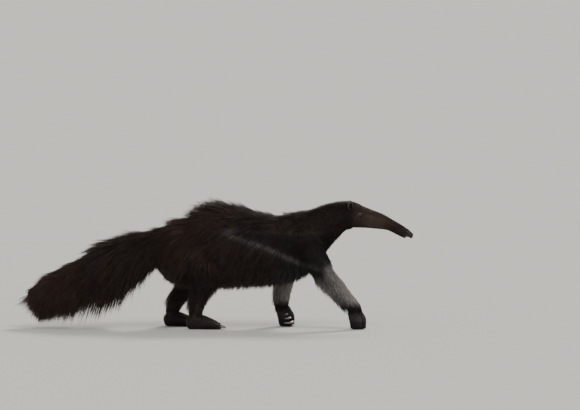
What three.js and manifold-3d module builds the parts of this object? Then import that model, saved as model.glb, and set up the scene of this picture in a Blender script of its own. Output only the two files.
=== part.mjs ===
// Giant anteater, life size, as a still museum model that walks with its head out and its tail trailing.
// Millimetres, +Z up, +X towards the nose, the right side towards -Y. The feet stand on Z = 0.
import * as THREE from "three";
import { mergeVertices } from "three/addons/utils/BufferGeometryUtils.js";
import Module from "manifold-3d";

const wasm = await Module();
wasm.setup();

// Clearance between pieces that meet.
const GAP = 0.35;

// Body, from the rump to the nose. Each row is a section square to the spine: x and z of its middle,
// then the skin's reach up, down and to the side, then the coat's depth up, down and to the side.
const RUMP_TO_SHOULDER = [
  [-288, 384, 40, 36, 32, 42, 30, 26],
  [-262, 382, 62, 58, 54, 48, 34, 28],
  [-220, 380, 82, 84, 76, 56, 40, 30],
  [-160, 379, 100, 110, 90, 62, 45, 32],
  [-85, 382, 126, 124, 98, 72, 50, 32],
  [0, 392, 140, 137, 117, 72, 55, 34],
  [100, 390, 134, 142, 116, 60, 48, 30],
  [200, 387, 125, 142, 110, 45, 38, 26],
  [300, 395, 127, 148, 100, 33, 30, 22],
  [380, 428, 118, 142, 90, 28, 24, 18],
];
const NECK = [
  [456, 470, 90, 96, 76, 23, 17, 15],
  [530, 514, 74, 75, 64, 16, 13, 12],
  [580, 536, 65, 66, 57, 12, 10, 9],
];
const EAR_TO_NOSE = [
  [629, 543, 59, 59, 53, 7, 7, 6],
  [667, 536, 50, 50, 45, 4, 4, 4],
  [715, 525, 42, 41, 37, 3, 3, 3],
  [765, 513, 35, 34.5, 31, 2.5, 2.5, 2.5],
  [811, 495, 27.5, 27.5, 25.5, 2, 2, 2],
  [855, 473, 24.5, 24.5, 22, 1.5, 1.5, 1.5],
  [890, 453, 21, 21.5, 19, 1, 1, 1],
  [908, 442, 18, 16, 16.5, 0.5, 0.5, 0.5],
];
const BODY = [...RUMP_TO_SHOULDER, ...NECK, ...EAR_TO_NOSE];
const NECK_FROM = 9.9;
const HEAD_FROM = 12.2;
const NOSE_FROM = BODY.length - 1.45;
const NOSE_DOME = 13;
const RUMP_DOME = 20;

// Tail, from the tip to the root, in upright sections with the same columns. The long hair hangs plumb.
const TAIL = [
  [-900, 176, 7, 7, 8, 24, 90, 16],
  [-868, 187, 12, 12, 11, 31, 142, 24],
  [-821, 208, 18, 18, 14, 38, 164, 30],
  [-773, 232, 21, 21, 17, 40, 186, 34],
  [-725, 252, 24, 24, 20, 41, 202, 38],
  [-677, 278, 26, 26, 22, 42, 226, 40],
  [-629, 305, 27, 27, 24, 42, 250, 42],
  [-581, 337, 27, 27, 26, 42, 280, 42],
  [-533, 363, 29, 29, 28, 40, 300, 42],
  [-461, 375, 33, 33, 31, 38, 300, 40],
  [-390, 386, 37, 37, 35, 38, 256, 36],
  [-317, 398, 42, 42, 39, 38, 150, 33],
  [-240, 417, 48, 48, 43, 40, 60, 30],
  [-180, 430, 48, 48, 43, 30, 20, 20],
];
const TAIL_TIP_DOME = 26;

// Legs, from the trunk to the wrist or ankle. Each row is x, y and z of a section's middle,
// then the skin's reach forwards, backwards and to the side, then the coat's depth.
const FORELEG_RIGHT = [
  [374, -34, 490, 40, 42, 22, 4],
  [402, -62, 436, 60, 70, 37, 6],
  [442, -80, 362, 56, 64, 43, 10],
  [478, -90, 310, 46, 54, 42, 11],
  [505, -96, 262, 38, 48, 40, 11],
  [555, -98, 203, 36, 40, 38, 10],
  [600, -98, 150, 31, 35, 33, 9],
  [635, -96, 108, 29, 31, 30, 8],
  [652, -96, 60, 28, 30, 28, 4],
];
const FORELEG_LEFT = [
  [392, 34, 490, 40, 42, 22, 4],
  [388, 62, 432, 64, 70, 37, 6],
  [356, 80, 354, 56, 64, 43, 10],
  [322, 92, 275, 40, 54, 41, 11],
  [306, 96, 215, 38, 42, 39, 10],
  [297, 97, 155, 33, 36, 34, 9],
  [292, 96, 108, 29, 31, 30, 8],
  [296, 96, 60, 28, 30, 28, 4],
];
const HINDLEG_RIGHT = [
  [-134, -30, 448, 48, 46, 26, 8],
  [-122, -66, 388, 90, 82, 47, 14],
  [-96, -84, 318, 88, 86, 52, 22],
  [-72, -90, 248, 62, 72, 45, 24],
  [-86, -93, 188, 43, 50, 36, 20],
  [-106, -95, 134, 32, 38, 29, 14],
  [-118, -96, 88, 28, 31, 27, 9],
  [-122, -96, 44, 26, 28, 22, 4],
];
const HINDLEG_LEFT = [
  [-144, 30, 448, 48, 46, 26, 8],
  [-142, 66, 388, 86, 82, 47, 14],
  [-134, 84, 316, 84, 86, 52, 22],
  [-132, 90, 244, 60, 72, 45, 24],
  [-166, 93, 186, 43, 50, 36, 20],
  [-206, 96, 132, 32, 38, 29, 14],
  [-230, 97, 88, 28, 31, 27, 9],
  [-240, 97, 44, 26, 28, 22, 4],
];
const LEGS = {
  foreleg_right: FORELEG_RIGHT,
  foreleg_left: FORELEG_LEFT,
  hindleg_right: HINDLEG_RIGHT,
  hindleg_left: HINDLEG_LEFT,
};

// The hand is a fist whose claws are folded inwards, and the hind foot stands on its whole sole.
const HAND_ROWS = [
  [6, 0, 84, 31, 33, 32, 7],
  [13, 0, 64, 35, 36, 34, 6],
  [19, 0, 44, 40, 37, 36, 5],
  [22, 0, 14, 37, 35, 34, 4],
];
const FOOT_ROWS = [
  [-38, 0, 31, 23, 34, 24, 4],
  [0, 0, 36, 38, 40, 28, 5],
  [44, 0, 31, 31, 35, 31, 4],
  [84, 0, 22, 22, 26, 36, 3],
  [104, 0, 17, 15, 20, 35, 2],
];
const PALM = { ahead: 6, inwards: 44, height: 24, radii: [34, 26, 34] };
const TOES = { count: 5, spread: 15.5, reach: 14, half: 8.2, height: 11, ahead: 6, bow: 130 };
const HIND_CLAW = { bend: 30, sweep: 0.95, thick: 4.6, steps: 3 };

// Claws of the hand, by digit: where each leaves the fist, the radius and sweep of its bend, its thickness.
const HAND_CLAWS = [
  { digit: 1, ahead: 22, inwards: 30, height: 62, bend: 14, sweep: 2, thick: 5 },
  { digit: 2, ahead: 34, inwards: 26, height: 45, bend: 23, sweep: 2.4, thick: 8 },
  { digit: 3, ahead: 43, inwards: 20, height: 25, bend: 29, sweep: 2.6, thick: 10.5 },
  { digit: 4, ahead: 52, inwards: 8, height: 9, bend: 15, sweep: 2.1, thick: 6 },
];

const EYE = { x: 670, z: 538, radius: 7.5, proud: 2.4 };
const LID = { thick: 2, long: 6.4, tall: 4.2 };
const EAR = { x: 622, angle: 0.66, height: 46, width: 34, depth: 14, wall: 3.4 };
const MOUTH = { x: 846, z: 478, below: 8, length: 46, slit: 1.1 };
const NOSTRIL = { aside: 10, up: 3, size: 4 };

// Share of the long coat's depth that is solid under its locks. The head's short coat is all solid.
const CORE = 0.5;
const SHORT_COAT_FROM = 10.6;
const SHOULDER_FROM = 8;
const THIGH_TO = 3;

// Locks of the crest, along the midline of the back. They are shorter and narrower where the coat is not as
// deep as "fullCoat".
const CREST = {
  from: 1.5,
  to: 11.2,
  count: 19,
  aside: 0.14,
  length: 140,
  width: 62,
  thick: 14,
  rise: 0.7,
  fullCoat: 72,
  least: 0.35,
};

// Rows of locks on the flanks and belly. Each runs along the spine from one row of BODY to another, at an
// angle round the section. "back" is how far the locks trail for each unit that they hang.
const FLANKS = [
  { angle: 1.15, from: 1.7, to: 8.6, count: 4, length: 165, width: 96, thick: 15, back: 3, sag: 0.1 },
  { angle: 0.72, from: 1.6, to: 9.3, count: 6, length: 185, width: 92, thick: 15, back: 1.5, sag: 0.2 },
  { angle: 0.2, from: 1.4, to: 9.5, count: 7, length: 170, width: 90, thick: 15, back: 0.95, sag: 0.2 },
  { angle: -0.35, from: 2.2, to: 9, count: 6, length: 158, width: 88, thick: 15, back: 0.6, sag: 0.15 },
  { angle: -0.85, from: 4.2, to: 8.6, count: 5, length: 110, width: 84, thick: 13, back: 0.45, sag: 0.1 },
  { angle: -1.45, from: 3.8, to: 8.4, count: 4, length: 64, width: 64, thick: 12, back: 0.5, sag: 0.1 },
];

// Rows of locks on the tail. "level" is the root's height as a share of the reach down, "aside" its place as
// a share of the half width, and "hang" the length as a share of what is left to the tips.
const PLUME = [
  { level: 0.02, aside: 0.69, from: 0.9, to: 11.3, count: 8, hang: 0.6, width: 84, thick: 15, back: 0.5 },
  { level: 0.3, aside: 0.61, from: 0.7, to: 11.5, count: 9, hang: 0.94, width: 82, thick: 14, back: 0.34 },
  { level: 0.44, aside: 0, from: 1, to: 11.1, count: 8, hang: 1, width: 78, thick: 18, back: 0.3 },
];
const PLUME_AHEAD = 14;
const PLUME_TOP = { from: 1, to: 12, count: 9, length: 150, width: 66, thick: 14, rise: 0.25 };
const PLUME_TIP = { count: 5, length: 118, width: 48, thick: 13, spread: 1.25 };

// Locks down the back of the hind legs and forelegs, from one row of the leg's table to another, at angles
// round the leg.
const TROUSERS = { from: 1.8, to: 5, rows: 2, angles: [-1.9, -1.2, -0.5], length: 96, width: 62, thick: 13 };
const FRINGE = { from: 2.6, to: 6, rows: 3, angles: [-1.57, -1.05], length: 84, width: 44, thick: 11 };

const across = new THREE.Vector3(0, 1, 0);
const plumb = new THREE.Vector3(0, 0, -1);
const SEEDS = { crest: 11, flanks: 23, plume: 37, plumeTop: 41, legs: 53 };

// Rows from a place in a table to the next: for the direction of the spine, and for a lock of the crest.
const STEP = 0.02;
const REACH = 1.4;

const LEG_DOME = 30;
const LEG_MESH = { perRow: 1, sides: 12 };

// A row of a table at t, counted in rows, on a smooth curve through them.
function rowAt(rows, t) {
  const last = rows.length - 1;
  const i = Math.min(Math.max(Math.floor(t), 0), last - 1);
  const u = t - i;
  const at = (k) => rows[Math.min(Math.max(k, 0), last)];
  return rows[0].map((_, c) => {
    const [a, b, d, e] = [at(i - 1)[c], at(i)[c], at(i + 1)[c], at(i + 2)[c]];
    const m0 = i > 0 ? (d - a) / 2 : d - b;
    const m1 = i < last - 1 ? (e - b) / 2 : d - b;
    const [u2, u3] = [u * u, u * u * u];
    return (2 * u3 - 3 * u2 + 1) * b + (u3 - 2 * u2 + u) * m0 + (3 * u2 - 2 * u3) * d + (u3 - u2) * m1;
  });
}

// A section of a rounded body: its middle, its axes and its reach up, down and to the side.
class Section {
  constructor(middle, ahead, reach) {
    this.middle = middle;
    this.ahead = ahead.normalize();
    this.side = across.clone().addScaledVector(this.ahead, -across.dot(this.ahead)).normalize();
    this.over = new THREE.Vector3().crossVectors(this.ahead, this.side);
    this.reach = reach;
  }
  // The point at an angle round the section, 0 at +Y and a quarter turn on top.
  point(angle, shrink = 1) {
    const [up, down, side] = this.reach;
    const c = Math.cos(angle) * side * shrink;
    const s = Math.sin(angle) * (Math.sin(angle) > 0 ? up : down) * shrink;
    return this.middle.clone().addScaledVector(this.side, c).addScaledVector(this.over, s);
  }
}

// Share of the coat that is solid at t along the body.
function bodyCore(t) {
  return CORE + (1 - CORE) * Math.min(Math.max((t - SHORT_COAT_FROM) / (HEAD_FROM - SHORT_COAT_FROM), 0), 1);
}

// Share of the coat that is solid at t down a leg.
function legCore(rows, t) {
  const isHind = rows === HINDLEG_RIGHT || rows === HINDLEG_LEFT;
  return isHind && t < THIGH_TO + 1 ? CORE + (1 - CORE) * Math.max(t - THIGH_TO, 0) : 1;
}

function bodySection(t, coat, grow = 0) {
  const [r, a, b] = [rowAt(BODY, t), rowAt(BODY, t - STEP), rowAt(BODY, t + STEP)];
  const reach = [0, 1, 2].map((k) => r[2 + k] + r[5 + k] * coat + grow);
  const ahead = new THREE.Vector3(b[0] - a[0], 0, b[1] - a[1]);
  return new Section(new THREE.Vector3(r[0], 0, r[1]), ahead, reach);
}

function tailSection(t, coat, grow = 0) {
  const r = rowAt(TAIL, t);
  const reach = [0, 1, 2].map((k) => r[2 + k] + r[5 + k] * coat + grow);
  return new Section(new THREE.Vector3(r[0], 0, r[1]), new THREE.Vector3(1, 0, 0), reach);
}

function limbSection(rows, t, coat, grow = 0) {
  const [r, a, b] = [rowAt(rows, t), rowAt(rows, t - STEP), rowAt(rows, t + STEP)];
  const reach = [0, 1, 2].map((k) => r[3 + k] + r[6] * coat + grow);
  const ahead = new THREE.Vector3(b[0] - a[0], b[1] - a[1], b[2] - a[2]);
  return new Section(new THREE.Vector3(r[0], r[1], r[2]), ahead, reach);
}

// A manifold from a three.js geometry, with its faces turned outwards.
function fromGeometry(geometry) {
  const bare = geometry.clone();
  bare.deleteAttribute("normal");
  bare.deleteAttribute("uv");
  const merged = mergeVertices(bare, 1e-4);
  const vertProperties = new Float32Array(merged.attributes.position.array);
  const triVerts = new Uint32Array(merged.index.array);
  const made = new wasm.Manifold(new wasm.Mesh({ numProp: 3, vertProperties, triVerts }));
  if (made.volume() > 0) return made;
  for (let i = 0; i < triVerts.length; i += 3) {
    [triVerts[i + 1], triVerts[i + 2]] = [triVerts[i + 2], triVerts[i + 1]];
  }
  return new wasm.Manifold(new wasm.Mesh({ numProp: 3, vertProperties, triVerts }));
}

// A closed solid through rings of points, with the same count in each ring.
function throughRings(rings) {
  const sides = rings[0].length;
  const points = rings.flat();
  const faces = [];
  for (let i = 0; i + 1 < rings.length; i++) {
    for (let j = 0; j < sides; j++) {
      const [a, b] = [i * sides + j, i * sides + ((j + 1) % sides)];
      faces.push([a, b, b + sides], [a, b + sides, a + sides]);
    }
  }
  for (const ring of [0, rings.length - 1]) {
    const middle = new THREE.Vector3();
    rings[ring].forEach((p) => middle.addScaledVector(p, 1 / sides));
    const hub = points.push(middle) - 1;
    for (let j = 0; j < sides; j++) {
      const [a, b] = [ring * sides + j, ring * sides + ((j + 1) % sides)];
      faces.push(ring === 0 ? [hub, b, a] : [hub, a, b]);
    }
  }
  const geometry = new THREE.BufferGeometry();
  geometry.setAttribute("position", new THREE.Float32BufferAttribute(points.flatMap((p) => p.toArray()), 3));
  geometry.setIndex(faces.flat());
  return fromGeometry(geometry);
}

// A solid through sections from t0 to t1. Its rings sit at the same places in the table whatever the ends.
function loft(sectionAt, t0, t1, { perRow, sides, domeStart = 0, domeEnd = 0 }) {
  const angles = Array.from({ length: sides }, (_, j) => ((j + 0.5) / sides) * 2 * Math.PI);
  const ring = (section, shrink, shift) =>
    angles.map((a) => section.point(a, shrink).addScaledVector(section.ahead, shift));
  const domeTurns = [0.4, 0.75, 0.96].map((share) => (share * Math.PI) / 2);
  const dome = (t, depth) => domeTurns.map((a) => ring(sectionAt(t), Math.cos(a), depth * Math.sin(a)));
  const places = [t0];
  for (let k = Math.floor(t0 * perRow) + 1; k / perRow < t1 - 1e-6; k++) places.push(k / perRow);
  places.push(t1);
  const made = places.map((t) => ring(sectionAt(t), 1, 0));
  if (domeStart) made.unshift(...dome(t0, -domeStart).reverse());
  if (domeEnd) made.push(...dome(t1, domeEnd));
  return throughRings(made);
}

// An ellipsoid of the given radii along three axes.
function ellipsoid(middle, radii, axes, round = 16) {
  const geometry = new THREE.SphereGeometry(1, round, Math.round(round / 2) + 1);
  geometry.scale(...radii);
  if (axes) geometry.applyMatrix4(new THREE.Matrix4().makeBasis(...axes));
  geometry.translate(middle.x, middle.y, middle.z);
  return fromGeometry(geometry);
}

function ball(middle, radius) {
  return ellipsoid(middle, [radius, radius, radius], null, 12);
}

// A block of the given sizes, turned and moved.
function block(sizes, middle, axes) {
  const geometry = new THREE.BoxGeometry(...sizes);
  if (axes) geometry.applyMatrix4(new THREE.Matrix4().makeBasis(...axes));
  geometry.translate(middle.x, middle.y, middle.z);
  return fromGeometry(geometry);
}

function aboveFloor(piece) {
  return piece.subtract(block([4000, 1000, 400], new THREE.Vector3(0, 0, -200)));
}

function largest(piece) {
  return piece.decompose().sort((a, b) => b.volume() - a.volume())[0];
}

// Half of the gap at a cut across a body or leg, counted in rows.
function halfGap(rows, t) {
  const [a, b] = [rowAt(rows, t - STEP), rowAt(rows, t + STEP)];
  const upright = rows === BODY ? b[1] - a[1] : b[2] - a[2];
  return (GAP / Math.hypot(b[0] - a[0], upright)) * STEP;
}

function bodyLoft(from, to, grow, options) {
  return loft((t) => bodySection(t, bodyCore(t), grow), from, to, { perRow: 1.5, sides: 20, ...options });
}

function torsoSolid() {
  return bodyLoft(0, NECK_FROM - halfGap(BODY, NECK_FROM), 0, { domeStart: RUMP_DOME });
}

// The trunk and neck with clearance all round, which the legs and tail are cut back from.
function trunkClearance() {
  return bodyLoft(0, HEAD_FROM, GAP, { domeStart: RUMP_DOME + GAP });
}

function neckSolid() {
  return bodyLoft(NECK_FROM + halfGap(BODY, NECK_FROM), HEAD_FROM - halfGap(BODY, HEAD_FROM), 0, {});
}

function tailCore(grow = 0) {
  const options = { perRow: 1, sides: 10, domeStart: TAIL_TIP_DOME + grow };
  return loft((t) => tailSection(t, CORE, grow), 0, TAIL.length - 1, options);
}

// A leg down to the wrist or ankle, which is its last row but one.
function legSolid(rows, grow = 0) {
  const end = rows.length - 2 - halfGap(rows, rows.length - 2);
  const sectionAt = (t) => limbSection(rows, t, legCore(rows, t), grow);
  return loft(sectionAt, 0, end, { ...LEG_MESH, domeStart: LEG_DOME + grow });
}

// The short end of a leg below the wrist or ankle, which is part of the hand or foot.
function legEnd(rows, grow) {
  const end = rows.length - 2;
  return loft((t) => limbSection(rows, t, 1, grow), end + halfGap(rows, end), end + 1, LEG_MESH);
}

// Random numbers from 0 to 1 that are the same in every run.
function seeded(seed) {
  let state = seed;
  return () => {
    state = (state + 0x6d2b79f5) | 0;
    let mixed = Math.imul(state ^ (state >>> 15), 1 | state);
    mixed = (mixed + Math.imul(mixed ^ (mixed >>> 7), 61 | mixed)) ^ mixed;
    return ((mixed ^ (mixed >>> 14)) >>> 0) / 4294967296;
  };
}

// A flat lock of hair: it leaves its root along one way, bends towards another and tapers to its tip.
// "outwards" is the normal of the surface that it lies along.
function lock(root, leave, bendTo, outwards, { length, width, thick, sag }, grow = 0) {
  // Shares of the length, the width and the thickness.
  const shape = [
    [0, 0.7, 1],
    [0.38, 1, 0.85],
    [0.74, 0.66, 0.5],
  ];
  const at = (share) =>
    root
      .clone()
      .addScaledVector(leave, length * share)
      .addScaledVector(bendTo, length * sag * share * share);
  const points = [];
  for (const [share, wide, deep] of shape) {
    const ahead = leave.clone().addScaledVector(bendTo, 2 * sag * share).normalize();
    const flank = new THREE.Vector3().crossVectors(ahead, outwards).normalize();
    const over = new THREE.Vector3().crossVectors(flank, ahead);
    const middle = at(share).addScaledVector(ahead, share === 0 ? -grow : 0);
    const [w, d] = [(wide * width) / 2 + grow * 2, (deep * thick) / 2 + grow * 1.5];
    points.push(middle.clone().addScaledVector(flank, w), middle.clone().addScaledVector(over, d));
    points.push(middle.clone().addScaledVector(flank, -w), middle.clone().addScaledVector(over, -d));
  }
  const tip = points.push(at(1).addScaledVector(leave, grow * 4)) - 1;
  const faces = [[0, 2, 1], [0, 3, 2]];
  for (let ring = 0; ring < shape.length; ring++) {
    for (let j = 0; j < 4; j++) {
      const [a, b] = [ring * 4 + j, ring * 4 + ((j + 1) % 4)];
      faces.push(...(ring + 1 < shape.length ? [[a, b, b + 4], [a, b + 4, a + 4]] : [[a, b, tip]]));
    }
  }
  const geometry = new THREE.BufferGeometry();
  geometry.setAttribute("position", new THREE.Float32BufferAttribute(points.flatMap((p) => p.toArray()), 3));
  geometry.setIndex(faces.flat());
  return fromGeometry(geometry);
}

// A draw round 1, for lengths and widths.
const vary = (draw, by) => 1 + by * (draw() * 2 - 1);

// A value from a to b for the i-th of a count, moved a little at random.
const spaced = (a, b, i, count, draw) => a + ((b - a) * (i + 0.5 + 0.5 * (draw() - 0.5))) / count;

// The normal of a section's outline at an angle round it.
function outwardsAt(section, angle) {
  const [up, down, side] = section.reach;
  const tall = Math.sin(angle) > 0 ? up : down;
  const out = section.side.clone().multiplyScalar(Math.cos(angle) / side);
  return out.addScaledVector(section.over, Math.sin(angle) / tall).normalize();
}

// The way towards the tail along the surface at an angle round the sections, over the length of a lock.
function backAlong(sectionAt, t, angle) {
  const behind = sectionAt(Math.max(t - REACH, 0)).point(angle);
  return behind.sub(sectionAt(t).point(angle)).normalize();
}

// The part of a direction that is square to another.
const squareTo = (way, other) => way.clone().addScaledVector(other, -way.dot(other)).normalize();

// A lock that lies along a surface with the given normal at a point, from a root sunk into it.
function lockOnSurface(point, outwards, trail, size, lift, draw, grow) {
  const along = squareTo(trail, outwards);
  const leave = along.clone().addScaledVector(outwards, lift).normalize();
  const varied = { ...size, length: size.length * vary(draw, 0.15), width: size.width * vary(draw, 0.12) };
  const sunk = size.thick * (size.sunk ?? 0.9);
  const root = point.addScaledVector(outwards, -sunk);
  root.addScaledVector(along, -size.length * 0.1);
  return lock(root, leave, plumb, outwards, varied, grow);
}

function lockOnSection(section, angle, trail, size, lift, draw, grow) {
  return lockOnSurface(section.point(angle), outwardsAt(section, angle), trail, size, lift, draw, grow);
}

// A lock that follows the slope of the surface towards the tail.
function lockAlong(sectionAt, t, angle, size, lift, draw, grow) {
  const section = sectionAt(t);
  const trail = backAlong(sectionAt, t, angle);
  const outwards = squareTo(outwardsAt(section, angle), trail);
  return lockOnSurface(section.point(angle), outwards, trail, size, lift, draw, grow);
}

// Locks of the back's crest, which rise from the midline and lie back.
function crestLocks(grow) {
  const draw = seeded(SEEDS.crest);
  const coreAt = (t) => bodySection(t, bodyCore(t));
  return Array.from({ length: CREST.count }, (_, i) => {
    const t = spaced(CREST.from, CREST.to, i, CREST.count, draw);
    const angle = Math.PI / 2 + CREST.aside * (i % 2 ? 1 : -1) + 0.05 * (draw() - 0.5);
    const depth = rowAt(BODY, t)[5] / CREST.fullCoat;
    const depthAtTip = rowAt(BODY, Math.max(t - REACH, 0))[5] / CREST.fullCoat;
    const length = CREST.length * (CREST.least + (1 - CREST.least) * depth);
    const width = CREST.width * (0.6 + 0.4 * depth);
    const rise = CREST.rise * (0.5 + 0.5 * depthAtTip ** 4);
    const size = { length, width, thick: CREST.thick, sag: 0.27, sunk: 0.4 };
    return { t, piece: lockAlong(coreAt, t, angle, size, rise, draw, grow) };
  });
}

// Locks of the flanks and belly, which trail back and hang.
function flankLocks(grow) {
  const draw = seeded(SEEDS.flanks);
  const made = [];
  for (const row of FLANKS) {
    for (const hand of [-1, 1]) {
      for (let i = 0; i < row.count; i++) {
        const t = spaced(row.from, row.to, i, row.count, draw);
        const section = bodySection(t, bodyCore(t));
        const angle = row.angle + 0.12 * (draw() - 0.5);
        const trail = plumb.clone().addScaledVector(section.ahead, -row.back).normalize();
        const length = row.length * (t > SHOULDER_FROM ? 0.8 : 1);
        const turned = hand > 0 ? angle : Math.PI - angle;
        made.push({ t, piece: lockOnSection(section, turned, trail, { ...row, length }, 0.1, draw, grow) });
      }
    }
  }
  return made;
}

// Locks that hang from the tail and trail towards its tip.
function plumeLocks(grow) {
  const draw = seeded(SEEDS.plume);
  const made = [];
  const back = new THREE.Vector3(-1, 0, 0);
  for (const row of PLUME) {
    for (const hand of row.aside ? [-1, 1] : [0]) {
      for (let i = 0; i < row.count; i++) {
        const t = spaced(row.from, row.to, i, row.count, draw);
        const [x, z, , down, side, , hair, bush] = rowAt(TAIL, t);
        const reach = down + hair;
        const root = new THREE.Vector3(x + PLUME_AHEAD, 0, z - reach * row.level);
        root.y = hand * (side + bush * CORE) * row.aside;
        const leave = plumb.clone().addScaledVector(back, row.back * vary(draw, 0.3));
        leave.y = hand * 0.1 * (1 - row.level);
        leave.normalize();
        const left = (reach * (1 - row.level) * row.hang) / -leave.z;
        const length = left * vary(draw, 0.08);
        const width = row.width * vary(draw, 0.15);
        const outwards = new THREE.Vector3(0, hand || 1, 0);
        made.push(lock(root, leave, back, outwards, { length, width, thick: row.thick, sag: 0.12 }, grow));
      }
    }
  }
  return made;
}

// Locks along the top of the tail and round its tip.
function plumeTopLocks(grow) {
  const draw = seeded(SEEDS.plumeTop);
  const made = Array.from({ length: PLUME_TOP.count }, (_, i) => {
    const t = spaced(PLUME_TOP.from, PLUME_TOP.to, i, PLUME_TOP.count, draw);
    const angle = Math.PI / 2 + (i % 2 ? 0.35 : -0.35);
    const size = { ...PLUME_TOP, sag: 0.08, sunk: 0.5 };
    return lockAlong((u) => tailSection(u, CORE), t, angle, size, PLUME_TOP.rise, draw, grow);
  });
  for (let i = 0; i < PLUME_TIP.count; i++) {
    const turn = 0.25 + (PLUME_TIP.spread * i) / (PLUME_TIP.count - 1);
    const leave = new THREE.Vector3(-Math.cos(turn), 0.16 * (draw() * 2 - 1), -Math.sin(turn)).normalize();
    const root = new THREE.Vector3(TAIL[1][0] - 4, 8 * (i % 2 ? 1 : -1), TAIL[1][1] - 10 * i);
    const length = PLUME_TIP.length * (0.55 + (0.45 * i) / (PLUME_TIP.count - 1)) * vary(draw, 0.1);
    made.push(lock(root, leave, plumb, across, { ...PLUME_TIP, length, sag: 0.16 }, grow));
  }
  return made;
}

// Locks down the back of a leg, in rows from the body to the foot.
function legLocks(rows, hand, { from, to, rows: count, angles, length, width, thick }, grow) {
  const draw = seeded(SEEDS.legs + rows[0][0]);
  const made = [];
  for (let i = 0; i < count; i++) {
    const t = spaced(from, to, i, count, draw);
    const section = limbSection(rows, t, legCore(rows, t));
    for (const angle of angles) {
      const turned = hand > 0 ? angle : Math.PI - angle;
      const trail = plumb.clone().addScaledVector(section.ahead, 0.8);
      const size = { length: length * (1 - (0.3 * i) / count), width, thick, sag: 0.1 };
      made.push(lockOnSection(section, turned, trail, size, 0.34, draw, grow));
    }
  }
  return made;
}

const join = (parts) => wasm.Manifold.union(parts);

// Rows of a hand or foot, set under the wrist or ankle.
function placedRows(rows, joint) {
  return rows.map((r) => [r[0] + joint[0], r[1] + joint[1], ...r.slice(2)]);
}

function handSolid(leg, inwards, grow = 0) {
  const wrist = leg[leg.length - 2];
  const rows = placedRows(HAND_ROWS, wrist);
  const options = { perRow: 1, sides: 12, domeStart: 6 + grow, domeEnd: 18 + grow };
  const fist = loft((t) => limbSection(rows, t, 1, grow), 0, rows.length - 1, options);
  const palm = new THREE.Vector3(wrist[0] + PALM.ahead, wrist[1] + inwards * PALM.inwards, PALM.height);
  return aboveFloor(fist.add(legEnd(leg, grow))).subtract(ellipsoid(palm, PALM.radii, null, 9));
}

function footSolid(leg, grow = 0) {
  const ankle = leg[leg.length - 2];
  const rows = placedRows(FOOT_ROWS, ankle);
  const options = { perRow: 1, sides: 12, domeStart: 11 + grow, domeEnd: 8 + grow };
  let foot = loft((t) => limbSection(rows, t, 1, grow), 0, rows.length - 1, options).add(legEnd(leg, grow));
  for (const toe of toeMiddles(ankle)) {
    foot = foot.add(ellipsoid(toe, [TOES.reach + grow, TOES.half + grow, TOES.height + grow], null, 6));
  }
  return aboveFloor(foot);
}

function toeMiddles(ankle) {
  const lastRow = FOOT_ROWS[FOOT_ROWS.length - 1];
  return Array.from({ length: TOES.count }, (_, k) => {
    const aside = (k - (TOES.count - 1) / 2) * TOES.spread;
    const ahead = lastRow[0] + TOES.ahead - (aside * aside) / TOES.bow;
    return new THREE.Vector3(ankle[0] + ahead, ankle[1] + aside, TOES.height - 1);
  });
}

// A claw that leaves its root along one axis and bends towards another, thinning to a point.
function clawSolid(root, leave, turnTo, { bend, sweep, thick, steps = 5 }) {
  const rings = [];
  const flank = new THREE.Vector3().crossVectors(leave, turnTo).normalize();
  const sunk = 0.12;
  for (let i = 0; i <= steps; i++) {
    const share = i / steps;
    const turn = sweep * (share * (1 + sunk) - sunk);
    const ahead = leave.clone().multiplyScalar(Math.cos(turn)).addScaledVector(turnTo, Math.sin(turn));
    const towards = turnTo.clone().multiplyScalar(Math.cos(turn)).addScaledVector(leave, -Math.sin(turn));
    const middle = root.clone().addScaledVector(leave, bend * Math.sin(turn));
    middle.addScaledVector(turnTo, bend * (1 - Math.cos(turn)));
    const half = thick * Math.pow(1 - share, 0.42) + 0.3;
    const section = new Section(middle, ahead, [half, half, half * 0.72]);
    section.side = flank;
    section.over = towards;
    rings.push(Array.from({ length: 6 }, (_, j) => section.point(((j + 0.5) / 6) * 2 * Math.PI)));
  }
  return throughRings(rings);
}

function handClaws(wrist, inwards) {
  return HAND_CLAWS.map((claw) => {
    const root = new THREE.Vector3(wrist[0] + claw.ahead, wrist[1] + inwards * claw.inwards, claw.height);
    const leave = new THREE.Vector3(0.6, inwards * 0.8, -0.1).normalize();
    const turnTo = new THREE.Vector3(-0.8, inwards * 0.6, -0.05);
    turnTo.addScaledVector(leave, -turnTo.dot(leave)).normalize();
    return { digit: claw.digit, piece: aboveFloor(clawSolid(root, leave, turnTo, claw)) };
  });
}

function footClaws(ankle) {
  const leave = new THREE.Vector3(1, 0, 0.12).normalize();
  const turnTo = new THREE.Vector3(0.12, 0, -1).normalize();
  return toeMiddles(ankle).map((toe, k) => {
    const root = toe.clone().add(new THREE.Vector3(TOES.reach - 4, 0, 5));
    return { digit: k + 1, piece: aboveFloor(clawSolid(root, leave, turnTo, HIND_CLAW)) };
  });
}

// The place on the body's side at an angle round the section nearest an x.
function bodyAt(x, angle) {
  let t = 0;
  while (rowAt(BODY, t)[0] < x) t += 0.01;
  return bodySection(t, 1).point(angle);
}

function eyeMiddle(hand) {
  const onSkin = bodyAt(EYE.x, 0);
  return new THREE.Vector3(EYE.x, hand * (onSkin.y - EYE.radius + EYE.proud), EYE.z);
}

function earAxes(hand) {
  const tall = new THREE.Vector3(-0.2, hand * 0.42, 0.88).normalize();
  const open = new THREE.Vector3(0.55, hand * 0.8, -0.2);
  open.addScaledVector(tall, -open.dot(tall)).normalize();
  return [new THREE.Vector3().crossVectors(open, tall), open, tall];
}

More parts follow.
